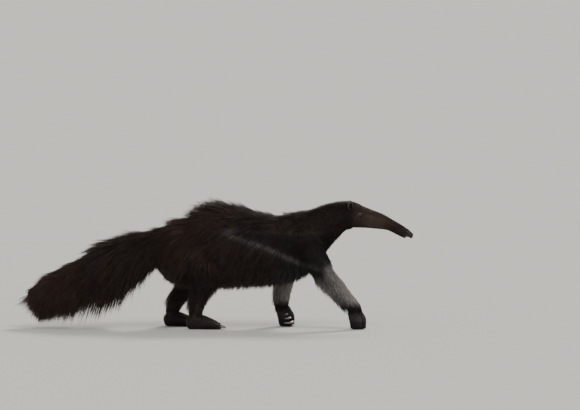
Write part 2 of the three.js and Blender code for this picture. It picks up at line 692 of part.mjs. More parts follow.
function earSolid(hand) {
  const axes = earAxes(hand);
  const [, open, tall] = axes;
  const root = bodyAt(EAR.x, EAR.angle);
  root.y *= hand;
  const middle = root.clone().addScaledVector(tall, EAR.height * 0.32);
  const radii = [EAR.width / 2, EAR.depth, EAR.height / 2];
  const cup = middle.clone().addScaledVector(open, EAR.depth * 0.5).addScaledVector(tall, 1);
  const hollow = radii.map((radius) => radius - EAR.wall);
  const shell = ellipsoid(middle, radii, axes, 11).subtract(ellipsoid(cup, hollow, axes, 11));
  const front = middle.clone().addScaledVector(open, EAR.depth * 1.35);
  const rim = block([90, EAR.depth * 2, 90], front, axes);
  const stalk = root.clone().addScaledVector(open, -EAR.depth * 0.3);
  return shell.subtract(rim).add(ellipsoid(stalk, [10, 9, 14], axes, 7));
}

// Axes of the snout at the mouth: ahead, across and over.
function snoutAxes() {
  const [a, b] = [BODY[BODY.length - 3], BODY[BODY.length - 1]];
  const ahead = new THREE.Vector3(b[0] - a[0], 0, b[1] - a[1]).normalize();
  return [ahead, across, new THREE.Vector3().crossVectors(ahead, across)];
}

// The room that the lower jaw and the slit of the mouth take from the snout.
function jawRoom(inset) {
  const axes = snoutAxes();
  const [ahead, , over] = axes;
  const deep = 60;
  const middle = new THREE.Vector3(MOUTH.x, 0, MOUTH.z)
    .addScaledVector(ahead, MOUTH.length / 2)
    .addScaledVector(over, -MOUTH.below - deep / 2 - inset * MOUTH.slit);
  const room = block([MOUTH.length - inset * 2 * GAP, 90, deep], middle, axes);
  const corner = new THREE.Vector3(MOUTH.x, 0, MOUTH.z).addScaledVector(over, -MOUTH.below - 20);
  const round = [MOUTH.length - inset * 1.5, 19 - inset * 0.5, 60];
  return room.intersect(ellipsoid(corner, round, axes, 18));
}

function snoutLoft() {
  return bodyLoft(HEAD_FROM + halfGap(BODY, HEAD_FROM), BODY.length - 1, 0, { domeEnd: NOSE_DOME });
}

// A slab across the snout that parts the bare nose from the furred muzzle.
function noseSlab(length, back) {
  const section = bodySection(NOSE_FROM, 1);
  const middle = section.middle.clone().addScaledVector(section.ahead, length / 2 + back);
  return block([length, 90, 90], middle, [section.ahead, section.side, section.over]);
}

function headSolid() {
  let head = snoutLoft().subtract(jawRoom(0)).subtract(noseSlab(80, -GAP / 2));
  for (const hand of [-1, 1]) {
    const eye = eyeMiddle(hand);
    const opening = new THREE.Vector3(eye.x, eye.y + hand * EYE.radius, eye.z);
    const slit = ellipsoid(opening, [LID.long, EYE.radius, LID.tall], null, 10);
    head = head.add(ball(eye, EYE.radius + LID.thick)).subtract(slit).subtract(ball(eye, EYE.radius + GAP));
  }
  return head;
}

function noseSolid() {
  let nose = snoutLoft().intersect(noseSlab(80, GAP / 2)).subtract(jawRoom(0));
  const section = bodySection(BODY.length - 1, 1);
  for (const hand of [-1, 1]) {
    const middle = section.middle
      .clone()
      .addScaledVector(section.ahead, NOSE_DOME - 3)
      .addScaledVector(section.side, hand * NOSTRIL.aside)
      .addScaledVector(section.over, NOSTRIL.up);
    const radii = [NOSTRIL.size * 1.6, NOSTRIL.size * 0.8, NOSTRIL.size];
    nose = nose.subtract(ellipsoid(middle, radii, [section.ahead, section.side, section.over], 8));
  }
  return nose;
}

function jawSolid() {
  return snoutLoft().intersect(jawRoom(1));
}

const paint = {
  coat: new THREE.MeshStandardMaterial({ color: 0x30261f, roughness: 0.9, metalness: 0 }),
  mane: new THREE.MeshStandardMaterial({ color: 0x3a2d24, roughness: 0.9, metalness: 0 }),
  foreleg: new THREE.MeshStandardMaterial({ color: 0x9b9086, roughness: 0.9, metalness: 0 }),
  snout: new THREE.MeshStandardMaterial({ color: 0x4b3f37, roughness: 0.8, metalness: 0 }),
  nose: new THREE.MeshStandardMaterial({ color: 0x14100f, roughness: 0.4, metalness: 0 }),
  eye: new THREE.MeshStandardMaterial({ color: 0x0c0908, roughness: 0.08, metalness: 0 }),
  claw: new THREE.MeshStandardMaterial({ color: 0x6b5c4a, roughness: 0.45, metalness: 0 }),
};

const pieces = [];
function add(name, piece, material) {
  pieces.push({ name, piece: largest(piece), material });
}

function addHead() {
  add("head", headSolid(), paint.snout);
  add("nose", noseSolid(), paint.nose);
  add("lower_jaw", jawSolid(), paint.snout);
  const offEar = bodyLoft(HEAD_FROM - 0.5, BODY.length - 1, GAP, { domeEnd: NOSE_DOME });
  for (const [side, hand] of Object.entries({ right: -1, left: 1 })) {
    add(`eye_${side}`, ball(eyeMiddle(hand), EYE.radius), paint.eye);
    add(`ear_${side}`, earSolid(hand).subtract(offEar), paint.coat);
  }
}

// The solids of one leg and its foot, in the order that they are cut.
function limbParts(name, rows) {
  const hand = name.endsWith("right") ? -1 : 1;
  const isFore = name.startsWith("fore");
  const foot = (grow) => (isFore ? handSolid(rows, -hand, grow) : footSolid(rows, grow));
  const hair = (grow) => join(legLocks(rows, hand, isFore ? FRINGE : TROUSERS, grow));
  const [core, coreGrown] = [legSolid(rows), legSolid(rows, GAP)];
  return { hand, isFore, core, coreGrown, hair, foot: foot(0), footGrown: foot(GAP) };
}

function addLimb(name, rows, parts, offCore, offHair) {
  const side = name.split("_")[1];
  const { hand, isFore, core, hair, foot, footGrown } = parts;
  const material = isFore ? paint.foreleg : paint.coat;
  const footName = isFore ? `hand_${side}` : `foot_${side}`;
  const coat = hair(0).subtract(footGrown).subtract(offHair);
  add(name, core.subtract(offCore).add(aboveFloor(coat)), material);
  add(footName, foot, material);
  const joint = rows[rows.length - 2];
  let taken = footGrown;
  for (const { digit, piece } of isFore ? handClaws(joint, -hand) : footClaws(joint)) {
    add(`claw_${footName}_${digit}`, piece.subtract(taken), paint.claw);
    taken = taken.add(piece);
  }
}

// The trunk comes first, then the legs, then the tail: what comes later is cut back from what comes before,
// and the trunk's locks are cut back from the solid legs and tail.
const limbs = Object.fromEntries(Object.entries(LEGS).map(([name, rows]) => [name, limbParts(name, rows)]));
const legsGrown = join(Object.values(limbs).flatMap((limb) => [limb.coreGrown, limb.footGrown]));
const trunkGrown = trunkClearance();
const trunkLocks = (grow) => [...crestLocks(grow), ...flankLocks(grow)];
const onNeck = ({ t }) => t > NECK_FROM;
const onTorso = ({ t }) => t <= NECK_FROM;
const pieceOf = ({ piece }) => piece;
const torsoHairGrown = join(trunkLocks(GAP).filter(onTorso).map(pieceOf));
const neckHairGrown = join(trunkLocks(GAP).filter(onNeck).map(pieceOf));
const [neckGap, headGap] = [halfGap(BODY, NECK_FROM), halfGap(BODY, HEAD_FROM)];
const torsoGrown = bodyLoft(0, NECK_FROM + neckGap, GAP, { domeStart: RUMP_DOME + GAP });
const neckGrown = bodyLoft(NECK_FROM - neckGap, HEAD_FROM + headGap, GAP, {});
const headGrown = bodyLoft(HEAD_FROM - headGap, BODY.length - 1, GAP, { domeEnd: NOSE_DOME });
const tailGrown = tailCore(GAP);

const torsoHair = join(trunkLocks(0).filter(onTorso).map(pieceOf));
const neckHair = join(trunkLocks(0).filter(onNeck).map(pieceOf));
const offTorso = join([legsGrown, tailGrown, neckGrown]);
const offNeck = join([legsGrown, torsoGrown, torsoHairGrown, headGrown]);
add("torso", torsoSolid().add(torsoHair.subtract(offTorso)), paint.coat);
add("neck", neckSolid().add(neckHair.subtract(offNeck)), paint.coat);
addHead();
const offLegs = join([trunkGrown, torsoHairGrown, neckHairGrown, tailGrown]);
for (const [name, rows] of Object.entries(LEGS)) addLimb(name, rows, limbs[name], trunkGrown, offLegs);
const legHairGrown = join(Object.values(limbs).map((limb) => limb.hair(GAP)));
const offTail = join([trunkGrown, torsoHairGrown, legsGrown, legHairGrown]);
const plume = join([...plumeLocks(0), ...plumeTopLocks(0)]);
add("tail", tailCore().subtract(trunkGrown).add(aboveFloor(plume).subtract(offTail)), paint.mane);

// The model, moved so that its box is centred over the origin.
const group = new THREE.Group();
group.name = "giant_anteater";
const box = new THREE.Box3();
for (const { name, piece, material } of pieces) {
  const mesh = piece.getMesh();
  const geometry = new THREE.BufferGeometry();
  geometry.setAttribute("position", new THREE.BufferAttribute(new Float32Array(mesh.vertProperties), 3));
  geometry.setIndex(new THREE.BufferAttribute(new Uint32Array(mesh.triVerts), 1));
  geometry.computeVertexNormals();
  geometry.computeBoundingBox();
  box.union(geometry.boundingBox);
  const node = new THREE.Mesh(geometry, material);
  node.name = name;
  group.add(node);
}
group.position.set(-(box.min.x + box.max.x) / 2, -(box.min.y + box.max.y) / 2, 0);

export default group;
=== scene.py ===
"""Looks of a giant anteater, walking, at life size: one skin, its coat in tufts, eyes and claws.

Tables of sizes are in millimetres and in the model's own axes; meshes are in metres in the frame.
+X points to the nose, +Z up, and the right side is towards -Y.
"""
import math

import bpy
import numpy as np
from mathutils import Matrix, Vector
from mathutils.kdtree import KDTree


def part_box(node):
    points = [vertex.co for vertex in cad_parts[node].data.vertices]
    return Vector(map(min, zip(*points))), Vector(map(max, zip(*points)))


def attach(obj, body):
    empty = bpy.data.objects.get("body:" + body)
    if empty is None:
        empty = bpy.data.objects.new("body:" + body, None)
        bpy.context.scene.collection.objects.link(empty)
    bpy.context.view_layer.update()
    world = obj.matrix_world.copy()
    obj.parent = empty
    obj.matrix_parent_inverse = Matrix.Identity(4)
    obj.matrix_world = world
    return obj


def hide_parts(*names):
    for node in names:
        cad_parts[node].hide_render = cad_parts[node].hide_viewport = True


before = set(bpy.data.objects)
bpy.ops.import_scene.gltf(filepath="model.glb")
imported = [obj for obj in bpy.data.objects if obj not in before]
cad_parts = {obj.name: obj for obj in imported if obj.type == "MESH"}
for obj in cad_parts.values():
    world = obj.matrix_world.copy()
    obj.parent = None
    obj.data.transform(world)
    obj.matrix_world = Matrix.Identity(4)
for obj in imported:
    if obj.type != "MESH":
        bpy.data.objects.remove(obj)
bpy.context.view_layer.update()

MM = 0.001

# Body, from the rump to the nose. Each row is a section square to the spine: x and z of its middle, the
# skin's reach up, down and to the side, the coat's depth up, down and to the side, and the length of the
# hair on top, at the side and below.
BODY = [
    [-288, 384, 40, 36, 32, 42, 30, 26, 90, 90, 70],
    [-262, 382, 73, 58, 54, 42, 34, 28, 100, 105, 80],
    [-220, 380, 94, 84, 76, 46, 40, 30, 118, 120, 90],
    [-160, 379, 127, 110, 90, 47, 45, 32, 132, 138, 95],
    [-85, 382, 147, 124, 98, 48, 50, 32, 150, 148, 98],
    [0, 392, 177, 137, 117, 45, 55, 34, 150, 150, 95],
    [100, 390, 168, 142, 116, 38, 48, 30, 130, 138, 88],
    [200, 387, 152, 142, 110, 32, 38, 26, 98, 112, 78],
    [300, 395, 140, 148, 100, 26, 30, 22, 72, 82, 66],
    [380, 428, 122, 142, 90, 27, 24, 18, 58, 60, 56],
    [456, 470, 90, 96, 76, 23, 17, 15, 46, 44, 44],
    [530, 514, 74, 75, 64, 16, 13, 12, 32, 30, 32],
    [580, 536, 65, 66, 57, 12, 10, 9, 24, 21, 24],
    [629, 543, 59, 62, 53, 7, 7, 6, 14, 13, 14],
    [667, 536, 50, 54, 45, 4, 4, 4, 9, 8, 9],
    [715, 525, 42, 45, 37, 3, 3, 3, 6.5, 6.5, 6.5],
    [765, 513, 35, 38, 31, 2.5, 2.5, 2.5, 5.5, 5.5, 5.5],
    [811, 495, 27.5, 27.5, 25.5, 2, 2, 2, 5, 5, 5],
    [855, 473, 24.5, 26.5, 22, 1.5, 1.5, 1.5, 4.5, 4.5, 4.5],
    [890, 453, 21, 24, 19, 1, 1, 1, 4, 4, 4],
    [908, 442, 18, 16, 16.5, 0.5, 0.5, 0.5, 3, 3, 3],
]

# Tail, from the tip to the root, in upright sections with the same columns, but for the hair's length.
TAIL = [
    [-900, 176, 7, 7, 8, 24, 90, 16],
    [-868, 187, 12, 12, 11, 31, 142, 24],
    [-821, 208, 18, 18, 14, 38, 164, 30],
    [-773, 232, 21, 21, 17, 40, 186, 34],
    [-725, 252, 24, 24, 20, 41, 202, 38],
    [-677, 278, 26, 26, 22, 42, 226, 40],
    [-629, 305, 25, 27, 24, 42, 250, 42],
    [-581, 337, 25, 27, 26, 42, 280, 42],
    [-533, 363, 36, 29, 28, 40, 300, 42],
    [-461, 375, 44, 33, 31, 38, 300, 40],
    [-390, 386, 50, 37, 35, 38, 256, 36],
    [-317, 398, 48, 42, 39, 38, 150, 33],
    [-240, 417, 48, 48, 43, 40, 60, 30],
    [-180, 430, 48, 48, 43, 30, 20, 20],
]

# Legs, from the trunk to the wrist or ankle. Each row is x, y and z of a section's middle, then the skin's
# reach forwards, backwards and to the side, then the coat's depth.
FORELEG_RIGHT = [
    [374, -34, 490, 40, 42, 22, 4],
    [402, -62, 436, 60, 70, 37, 6],
    [442, -80, 362, 56, 64, 43, 10],
    [478, -90, 310, 46, 54, 42, 11],
    [505, -96, 262, 38, 48, 40, 11],
    [555, -98, 203, 36, 40, 38, 10],
    [600, -98, 150, 31, 35, 33, 9],
    [635, -96, 108, 29, 31, 30, 8],
    [652, -96, 60, 28, 30, 28, 4],
]

FORELEG_LEFT = [
    [392, 34, 490, 40, 42, 22, 4],
    [388, 62, 432, 64, 70, 37, 6],
    [356, 80, 354, 56, 64, 43, 10],
    [322, 92, 275, 40, 54, 41, 11],
    [306, 96, 215, 38, 42, 39, 10],
    [297, 97, 155, 33, 36, 34, 9],
    [292, 96, 108, 29, 31, 30, 8],
    [296, 96, 60, 28, 30, 28, 4],
]

HINDLEG_RIGHT = [
    [-134, -30, 448, 48, 46, 26, 8],
    [-122, -66, 388, 90, 82, 47, 14],
    [-96, -84, 318, 88, 86, 52, 22],
    [-72, -90, 248, 62, 72, 45, 24],
    [-86, -93, 188, 43, 50, 36, 20],
    [-106, -95, 134, 32, 38, 29, 14],
    [-118, -96, 88, 28, 31, 27, 9],
    [-122, -96, 44, 26, 28, 22, 4],
]

HINDLEG_LEFT = [
    [-144, 30, 448, 48, 46, 26, 8],
    [-142, 66, 388, 86, 82, 47, 14],
    [-134, 84, 316, 84, 86, 52, 22],
    [-132, 90, 244, 60, 72, 45, 24],
    [-166, 93, 186, 43, 50, 36, 20],
    [-206, 96, 132, 32, 38, 29, 14],
    [-230, 97, 88, 28, 31, 27, 9],
    [-240, 97, 44, 26, 28, 22, 4],
]

# Hand and hind foot in the same columns, set under the last row but one of the leg, which is its joint.
HAND_ROWS = [
    [6, 0, 84, 31, 33, 32, 7],
    [13, 0, 64, 35, 36, 34, 6],
    [19, 0, 44, 40, 37, 36, 5],
    [22, 0, 14, 37, 35, 34, 4],
]

FOOT_ROWS = [
    [-30, 0, 31, 25, 32.5, 25, 4],
    [0, 0, 36, 38, 37.5, 29, 5],
    [44, 0, 31, 31, 32.5, 32, 4],
    [84, 0, 22, 22, 23.5, 36, 3],
    [104, 0, 17, 15, 18, 35, 2],
]
# Length of the rounded end before the first row and past the last, or 0 for a flat end.
DOMES = {"body": (20, 13), "tail": (12, 0), "leg": (30, 6), "hand": (6, 18), "foot": (19, 10)}

TOES = {"count": 5, "spread": 15, "reach": 13, "half": 7.4, "height": 10.5, "ahead": 5, "bow": 110,
        "pinch": 0.87, "furrow": 1.5, "wrinkle": 1.8, "wrinkle_x": 26}
FIST = {"ahead": 20, "finger": 17, "furrow": 1.7, "wrinkle": 1.6, "wrist_z": 88}
# x is the eye's place in the solids, and reach the share of a half turn that its colours cover.
EYE = {"x": 670, "radius": 7.5, "reach": 0.42}
EAR = {"x": 625, "angle": 0.56, "height": 46, "width": 31, "depth": 14, "wall": 1.8, "wrap": 1.78, "coat": 2,
       "pinch": 0.28, "raised": 0.24, "sides": 44}
# Ways of the left ear's long axis and of its opening, and of the left eye's gaze.
EAR_UP = (-0.24, 0.56, 0.80)
EAR_OPENS = (0.55, 0.8, -0.2)
GAZE = (0.25, 1.0, 0.1)

# The pale edges of the dark shoulder band, from its point on the flank towards the chest: x and z.
BAND_TOP = [[0, 478], [120, 468], [226, 461], [331, 451], [430, 452], [500, 458]]
BAND_FOOT = [[0, 476], [115, 430], [226, 389], [331, 341], [402, 309], [466, 290], [540, 284]]
# Where the foreleg's pale hair begins in front, over what height, and how much lower behind.
LEG_PALE = {"from": 338, "over": 52, "drop_behind": 66}

ACROSS = np.array([0.0, 1.0, 0.0])
PLUMB = np.array([0.0, 0.0, -1.0])
BACKWARDS = np.array([-1.0, 0.0, 0.0])
SIDES = {"right": -1, "left": 1}

# Half the step, in rows or radians, over which a surface's directions are measured.
STEP = 0.02
# How far past a section, in millimetres, its skin still holds hair off.
END_MARGIN = 25

# The model's origin in the frame, from the eyes, whose place in the model is known.
eye_boxes = {side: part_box(f"eye_{side}") for side in SIDES}
eye_middle = sum((low + high for low, high in eye_boxes.values()), Vector()) / 4
ORIGIN = np.array([eye_middle.x - EYE["x"] * MM, eye_middle.y, 0.0])


def unit(v):
    return v / np.maximum(np.linalg.norm(v, axis=-1, keepdims=True), 1e-9)


def ease(low, high, x):
    """0 before low and 1 past high, with a smooth change between; low may be the higher of the two."""
    u = np.clip((x - low) / (high - low), 0, 1)
    return u * u * (3 - 2 * u)


def bump(distance, radius):
    """1 at no distance, falling smoothly to 0 at the radius."""
    return np.clip(1 - (distance / radius) ** 2, 0, 1) ** 2


def line_share(distance, width):
    """1 on a line, falling off softly on both sides of it."""
    return np.exp(-((distance / width) ** 2))


def blend(a, b, share):
    return a * (1 - share) + b * share


def value_at(line, x):
    """Value at x of a line that is given by its corners."""
    return np.interp(x, *zip(*line))


def pairs_of(a, b):
    """Every value of a with every value of b, as two flat arrays."""
    return (grid.ravel() for grid in np.meshgrid(a, b, indexing="ij"))


def nearest(points, targets):
    """Index of the target nearest to each point, and its distance."""
    tree = KDTree(len(targets))
    for i, target in enumerate(targets):
        tree.insert(target, i)
    tree.balance()
    found = [tree.find(p) for p in points]
    return np.array([i for _, i, _ in found]), np.array([distance for *_, distance in found])


def to_side(way, hand):
    """A direction that is given for the left side, on the side of hand: -1 is right and 1 is left."""
    return np.array(way) * [1, hand, 1]


def square_to(way, axis):
    """The part of a direction that is square to an axis."""
    return unit(way - axis * way.dot(axis))


def row_at(rows, t):
    """Rows of a table at the places t, counted in rows, on a smooth curve through them."""
    last = len(rows) - 1
    i = np.clip(np.floor(t).astype(int), 0, last - 1)
    u = (t - i)[:, None]
    a, b, d, e = (rows[np.clip(i + k, 0, last)] for k in (-1, 0, 1, 2))
    m0 = np.where((i > 0)[:, None], (d - a) / 2, d - b)
    m1 = np.where((i < last - 1)[:, None], (e - b) / 2, d - b)
    u2, u3 = u * u, u * u * u
    return (2 * u3 - 3 * u2 + 1) * b + (u3 - 2 * u2 + u) * m0 + (3 * u2 - 2 * u3) * d + (u3 - u2) * m1


class Shape:
    """A surface that is read at t along it and at an angle round it."""

    def lengthwise(self, t, angle):
        return self.surface(t + STEP, angle) - self.surface(t - STEP, angle)

    def around(self, t, angle):
        return self.surface(t, angle + STEP) - self.surface(t, angle - STEP)

    def depth(self, t, angle):
        """How deep the coat is, from the skin to its outer layer."""
        return np.linalg.norm(self.surface(t, angle, 1.0) - self.surface(t, angle), axis=1)


class Form(Shape):
    """A rounded body through the sections of a table, with t counted in rows.

    Angle 0 is at +Y and a quarter turn is on top, or in front on a leg. t from -1 to 0, and 1 past the
    last row, runs over the rounded ends.
    """

    SPINE_SAMPLES = 90

    def __init__(self, rows, kind):
        """Rows of the body and tail get a y of 0, and the legs' one depth of coat is used on all sides."""
        rows = np.array(rows, float)
        if kind in ("body", "tail"):
            self.rows = np.insert(rows, 1, 0, axis=1)
        else:
            self.rows = rows[:, [0, 1, 2, 3, 4, 5, 6, 6, 6]]
        self.last = len(rows) - 1
        self.kind = kind
        self.domes = DOMES[kind]
        self.spine = self.section(np.linspace(0, self.last, self.SPINE_SAMPLES))

    def section(self, t):
        """Middle, ahead, side and over of the sections at t, with the skin's reach and the coat's depth."""
        row, before, after = (row_at(self.rows, np.clip(t, 0, self.last) + step) for step in (0, -STEP, STEP))
        ahead = after[:, :3] - before[:, :3]
        if self.kind == "tail":
            ahead[:, 2] = 0
        ahead = unit(ahead)
        side = unit(ACROSS - ahead * ahead[:, 1:2])
        return row[:, :3], ahead, side, np.cross(ahead, side), row[:, 3:6], row[:, 6:9]

    def surface(self, t, angle, share=0.0):
        """Points of the skin, or of a layer at a share of the coat's depth."""
        past = np.clip(t - self.last, 0, 1)
        before = np.clip(-t, 0, 1)
        turn = (past + before) * math.pi / 2
        shift = np.sin(turn) * np.where(past > 0, self.domes[1], -self.domes[0])
        middle, ahead, side, over, skin, coat = self.section(t)
        reach = (skin + coat * share) * np.cos(turn)[:, None]
        aside = np.cos(angle) * reach[:, 2]
        up = np.sin(angle) * np.where(np.sin(angle) > 0, reach[:, 0], reach[:, 1])
        return middle + side * aside[:, None] + over * up[:, None] + ahead * shift[:, None]

    def normal(self, t, angle):
        return unit(np.cross(self.around(t, angle), self.lengthwise(t, angle)))

    def push_out(self, points, clear):
        """Points moved out along their section until they are as far off the skin as clear."""
        at = np.argmin(((points[:, None, :] - self.spine[0][None]) ** 2).sum(axis=2), axis=1)
        middle, ahead, side, over, skin, _ = (part[at] for part in self.spine)
        off = points - middle
        lengthwise = (off * ahead).sum(axis=1)
        across = off - ahead * lengthwise[:, None]
        aside = (across * side).sum(axis=1)
        up = (across * over).sum(axis=1)
        tall = np.where(up > 0, skin[:, 0], skin[:, 1])
        far = np.maximum(np.linalg.norm(across, axis=1), 1e-6)
        filled = np.maximum(np.sqrt((aside / skin[:, 2]) ** 2 + (up / tall) ** 2), 1e-6)
        gap = far - far / filled
        beside = np.abs(lengthwise) < END_MARGIN
        move = np.where(beside, np.clip(clear - gap, 0, None), 0)
        return points + across / far[:, None] * move[:, None]


LEG_TABLES = {
    "foreleg_right": FORELEG_RIGHT,
    "foreleg_left": FORELEG_LEFT,
    "hindleg_right": HINDLEG_RIGHT,
    "hindleg_left": HINDLEG_LEFT,
}


def joint_of(leg):
    """x and y of a leg's wrist or ankle."""
    return LEG_TABLES[leg][-2][:2]


def under_joint(rows, leg):
    x, y = joint_of(leg)
    return [[row[0] + x, row[1] + y, *row[2:]] for row in rows]


body = Form(BODY, "body")
tail = Form(TAIL, "tail")
legs = {name: Form(rows, "leg") for name, rows in LEG_TABLES.items()}
ends = {f"hand_{side}": Form(under_joint(HAND_ROWS, f"foreleg_{side}"), "hand") for side in SIDES}
ends |= {f"foot_{side}": Form(under_joint(FOOT_ROWS, f"hindleg_{side}"), "foot") for side in SIDES}


def spine_height(x):
    return np.interp(x, body.rows[:, 0], body.rows[:, 2])


def to_frame(points):
    return points * MM + ORIGIN


def to_model(points):
    return (points - ORIGIN) / MM


def set_all(thing, **settings):
    for name, value in settings.items():
        setattr(thing, name, value)


def place_object(name, data):
    made = bpy.data.objects.new(name, data)
    bpy.context.scene.collection.objects.link(made)
    return made


def mesh_object(name, points, faces):
    """An object from points in model millimetres and a list of faces."""
    mesh = bpy.data.meshes.new(name)
    mesh.from_pydata(to_frame(points).tolist(), [], faces, shade_flat=False)
    return place_object(name, mesh)


# Skin

# Grid of the skin over each kind of form: the distance between rings, by x, the sides of a ring, and how far
# its sides crowd towards left and right.
FACE_SPACING = [(645, 2.2), (656, 0.7), (684, 0.7), (695, 2.2), (835, 2.2), (850, 1.1)]
GRIDS = {
    "body": ([(-400, 11), (560, 8), (600, 3), *FACE_SPACING], 144, 0.36),
    "tail": ([(0, 12)], 28, 0),
    "leg": ([(0, 6)], 36, 0),
    "hand": ([(0, 3.5)], 60, 0),
    "foot": ([(0, 3.5)], 56, 0),
}


def stations(form, spacing, samples=600):
    """Places along a form whose rings are as far apart as the line of spacing says for their x."""
    t = np.linspace(0, form.last, samples)
    middle = form.section(t)[0]
    steps = np.linalg.norm(np.diff(middle, axis=0), axis=1)
    wanted = np.append(0, np.cumsum(steps / value_at(spacing, (middle[1:, 0] + middle[:-1, 0]) / 2)))
    inner = np.interp(np.linspace(0, wanted[-1], int(wanted[-1]) + 2), wanted, t)
    start = -np.sin(np.linspace(0.98, 0.12, 7) * math.pi / 2) ** 2 if form.domes[0] else []
    end = form.last + np.linspace(0.08, 0.97, 12) if form.domes[1] else []
    return np.concatenate([start, inner, end])


def ring_mesh(rings):
    """Points and faces of a closed surface through rings of points, with a fan over each end."""
    count, sides = rings.shape[:2]
    i, j = pairs_of(np.arange(count - 1), np.arange(sides))
    a = i * sides + j
    b = i * sides + (j + 1) % sides
    faces = np.stack([a, b, b + sides, a + sides], axis=1).tolist()
    hub = count * sides
    last_ring = hub - sides
    for k in range(sides):
        following = (k + 1) % sides
        faces.append([hub, following, k])
        faces.append([hub + 1, last_ring + k, last_ring + following])
    return np.concatenate([rings.reshape(-1, 3), [rings[0].mean(axis=0), rings[-1].mean(axis=0)]]), faces


def no_relief(points):
    return np.zeros(len(points))


def skin_mesh(form, relief=no_relief):
    """Points and faces of a form's skin, moved out along its normals by a relief."""
    spacing, sides, crowding = GRIDS[form.kind]
    rings = stations(form, spacing)
    turns = even_angles(sides)
    t, angle = pairs_of(rings, turns - crowding * np.sin(2 * turns))
    points = form.surface(t, angle)
    normals = form.normal(np.clip(t, -0.95, form.last + 0.95), angle)
    return ring_mesh((points + normals * relief(points)[:, None]).reshape(len(rings), sides, 3))


def even_angles(sides):
    return (np.arange(sides) + 0.5) / sides * 2 * math.pi


def eye_centre(hand):
    """Middle of an eye in model millimetres. hand is -1 on the right side and 1 on the left."""
    low, high = eye_boxes["right" if hand < 0 else "left"]
    return to_model(np.array((low + high) / 2))


LIDS = {"half_length": 6.2, "half_height": 3.9, "rim": 1.3, "spread": 6.5, "sink": 3.0, "slant": 0.16}
SOCKET = {"ahead": 7, "radius": 17, "depth": 2.6}
BROW = {"above": 13.5, "height": 2.3, "thick": 5, "long": 21, "bend": 4, "bend_over": 15}
PALE_BROW = {"thick": 7, "long": 20, "behind": 3, "rise": 0.30}
# Folds below the eye: distance from its middle, and depth.
FOLDS = [(11.5, 0.55), (14.8, 0.5), (18.4, 0.38)]
FOLD_WIDTH = 0.9
MOUTH = {"corner": 838, "below": 8, "width": 1.5, "depth": 2.6, "jaw_end": 884, "overbite": 7}
NOSTRIL = {"aside": 8.6, "up": 1.5, "half_width": 3.1, "half_height": 4.2, "depth": 6.5,
           "slant": 0.5, "slit": 1.6}
NOSE_PAD = {"from": 889, "height": 0.6}
SNOUT = {"hollow": 1.3, "ridge": 0.8}
CHEEK = {"x": 652, "z": 513, "height": 2.4, "long": 50, "tall": 27}


def eye_measures(points, hand):
    """Places along and across an eye's slanted opening, and how far out they are, with 1 at its edge."""
    p = points - eye_centre(hand)
    along = p[:, 0] + p[:, 2] * LIDS["slant"]
    tall = p[:, 2] - p[:, 0] * LIDS["slant"]
    return along, tall, (along / LIDS["half_length"]) ** 2 + (tall / LIDS["half_height"]) ** 2


def brow_share(along, tall, thick, long, behind=0):
    """1 on the arc of the brow, falling to 0 at the distances given, with its middle moved behind."""
    over = tall - BROW["above"] + (along / BROW["bend_over"]) ** 2 * BROW["bend"]
    return bump(over, thick) * bump(along + behind, long)


def eye_relief(points):
    """How far the skin stands out round the eyes: sockets, brows, lids with their opening, and folds."""
    rise = np.zeros(len(points))
    for hand in (-1, 1):
        centre = eye_centre(hand)
        near = (points[:, 1] * hand > 0) & (np.abs(points[:, 0] - centre[0]) < 45)
        along, tall, opening = eye_measures(points[near], hand)
        far = np.hypot(along, tall)
        value = -SOCKET["depth"] * bump(np.hypot(along - SOCKET["ahead"], tall), SOCKET["radius"])
        value += BROW["height"] * brow_share(along, tall, BROW["thick"], BROW["long"])
        for radius, depth in FOLDS:
            below = ease(3, -6, tall) + 0.5 * ease(-4, -10, along)
            value -= depth * line_share(far - radius, FOLD_WIDTH) * below
        outside = np.abs(points[near, 1] - centre[1])
        ball = np.sqrt(np.clip(EYE["radius"] ** 2 - far**2, 0, None)) - outside
        over_ball = ease(EYE["radius"] + LIDS["spread"] * 0.4, EYE["radius"] * 0.75, far)
        value = blend(value, ball + LIDS["rim"], over_ball)
        rise[near] += value - (LIDS["rim"] + LIDS["sink"]) * ease(1.2, 0.8, opening)
    return rise


def mouth_measures(points):
    """Height over the spine, distance from it, height of the mouth's line, and how open the mouth is."""
    x = points[:, 0]
    t = np.interp(x, body.rows[:, 0], np.arange(len(BODY)))
    middle, _, side, over, *_ = body.section(t)
    off = points - middle
    up = (off * over).sum(axis=1)
    aside = np.abs((off * side).sum(axis=1))
    line = -MOUTH["below"] + ease(MOUTH["corner"] + 25, MOUTH["corner"], x) * 1.5
    length = ease(MOUTH["corner"], MOUTH["corner"] + 8, x) * ease(906, 898, x)
    return up, aside, line, length


def snout_relief(points):
    """The line of the mouth, the set-back lower jaw, the nose pad and the nostrils."""
    x = points[:, 0]
    up, aside, line, length = mouth_measures(points)
    groove = MOUTH["depth"] * line_share(up - line, MOUTH["width"]) * length
    chin = ease(MOUTH["jaw_end"] - 2, MOUTH["jaw_end"] + 4, x) * ease(line, line - 4, up)
    pad = NOSE_PAD["height"] * ease(NOSE_PAD["from"], NOSE_PAD["from"] + 8, x) * (up > line)
    aside_of, up_of = aside - NOSTRIL["aside"], up - NOSTRIL["up"]
    comma = (aside_of / NOSTRIL["half_width"]) ** 2
    comma += ((up_of - aside_of * NOSTRIL["slant"]) / NOSTRIL["half_height"]) ** 2
    opening = NOSTRIL["depth"] * ease(1.3, 0.5, comma) * ease(906, 912, x)
    slit = NOSTRIL["slit"] * line_share(up_of + 1, 0.9) * ease(9, 15, aside) * ease(896, 904, x)
    return pad - groove - MOUTH["overbite"] * chin - opening - slit


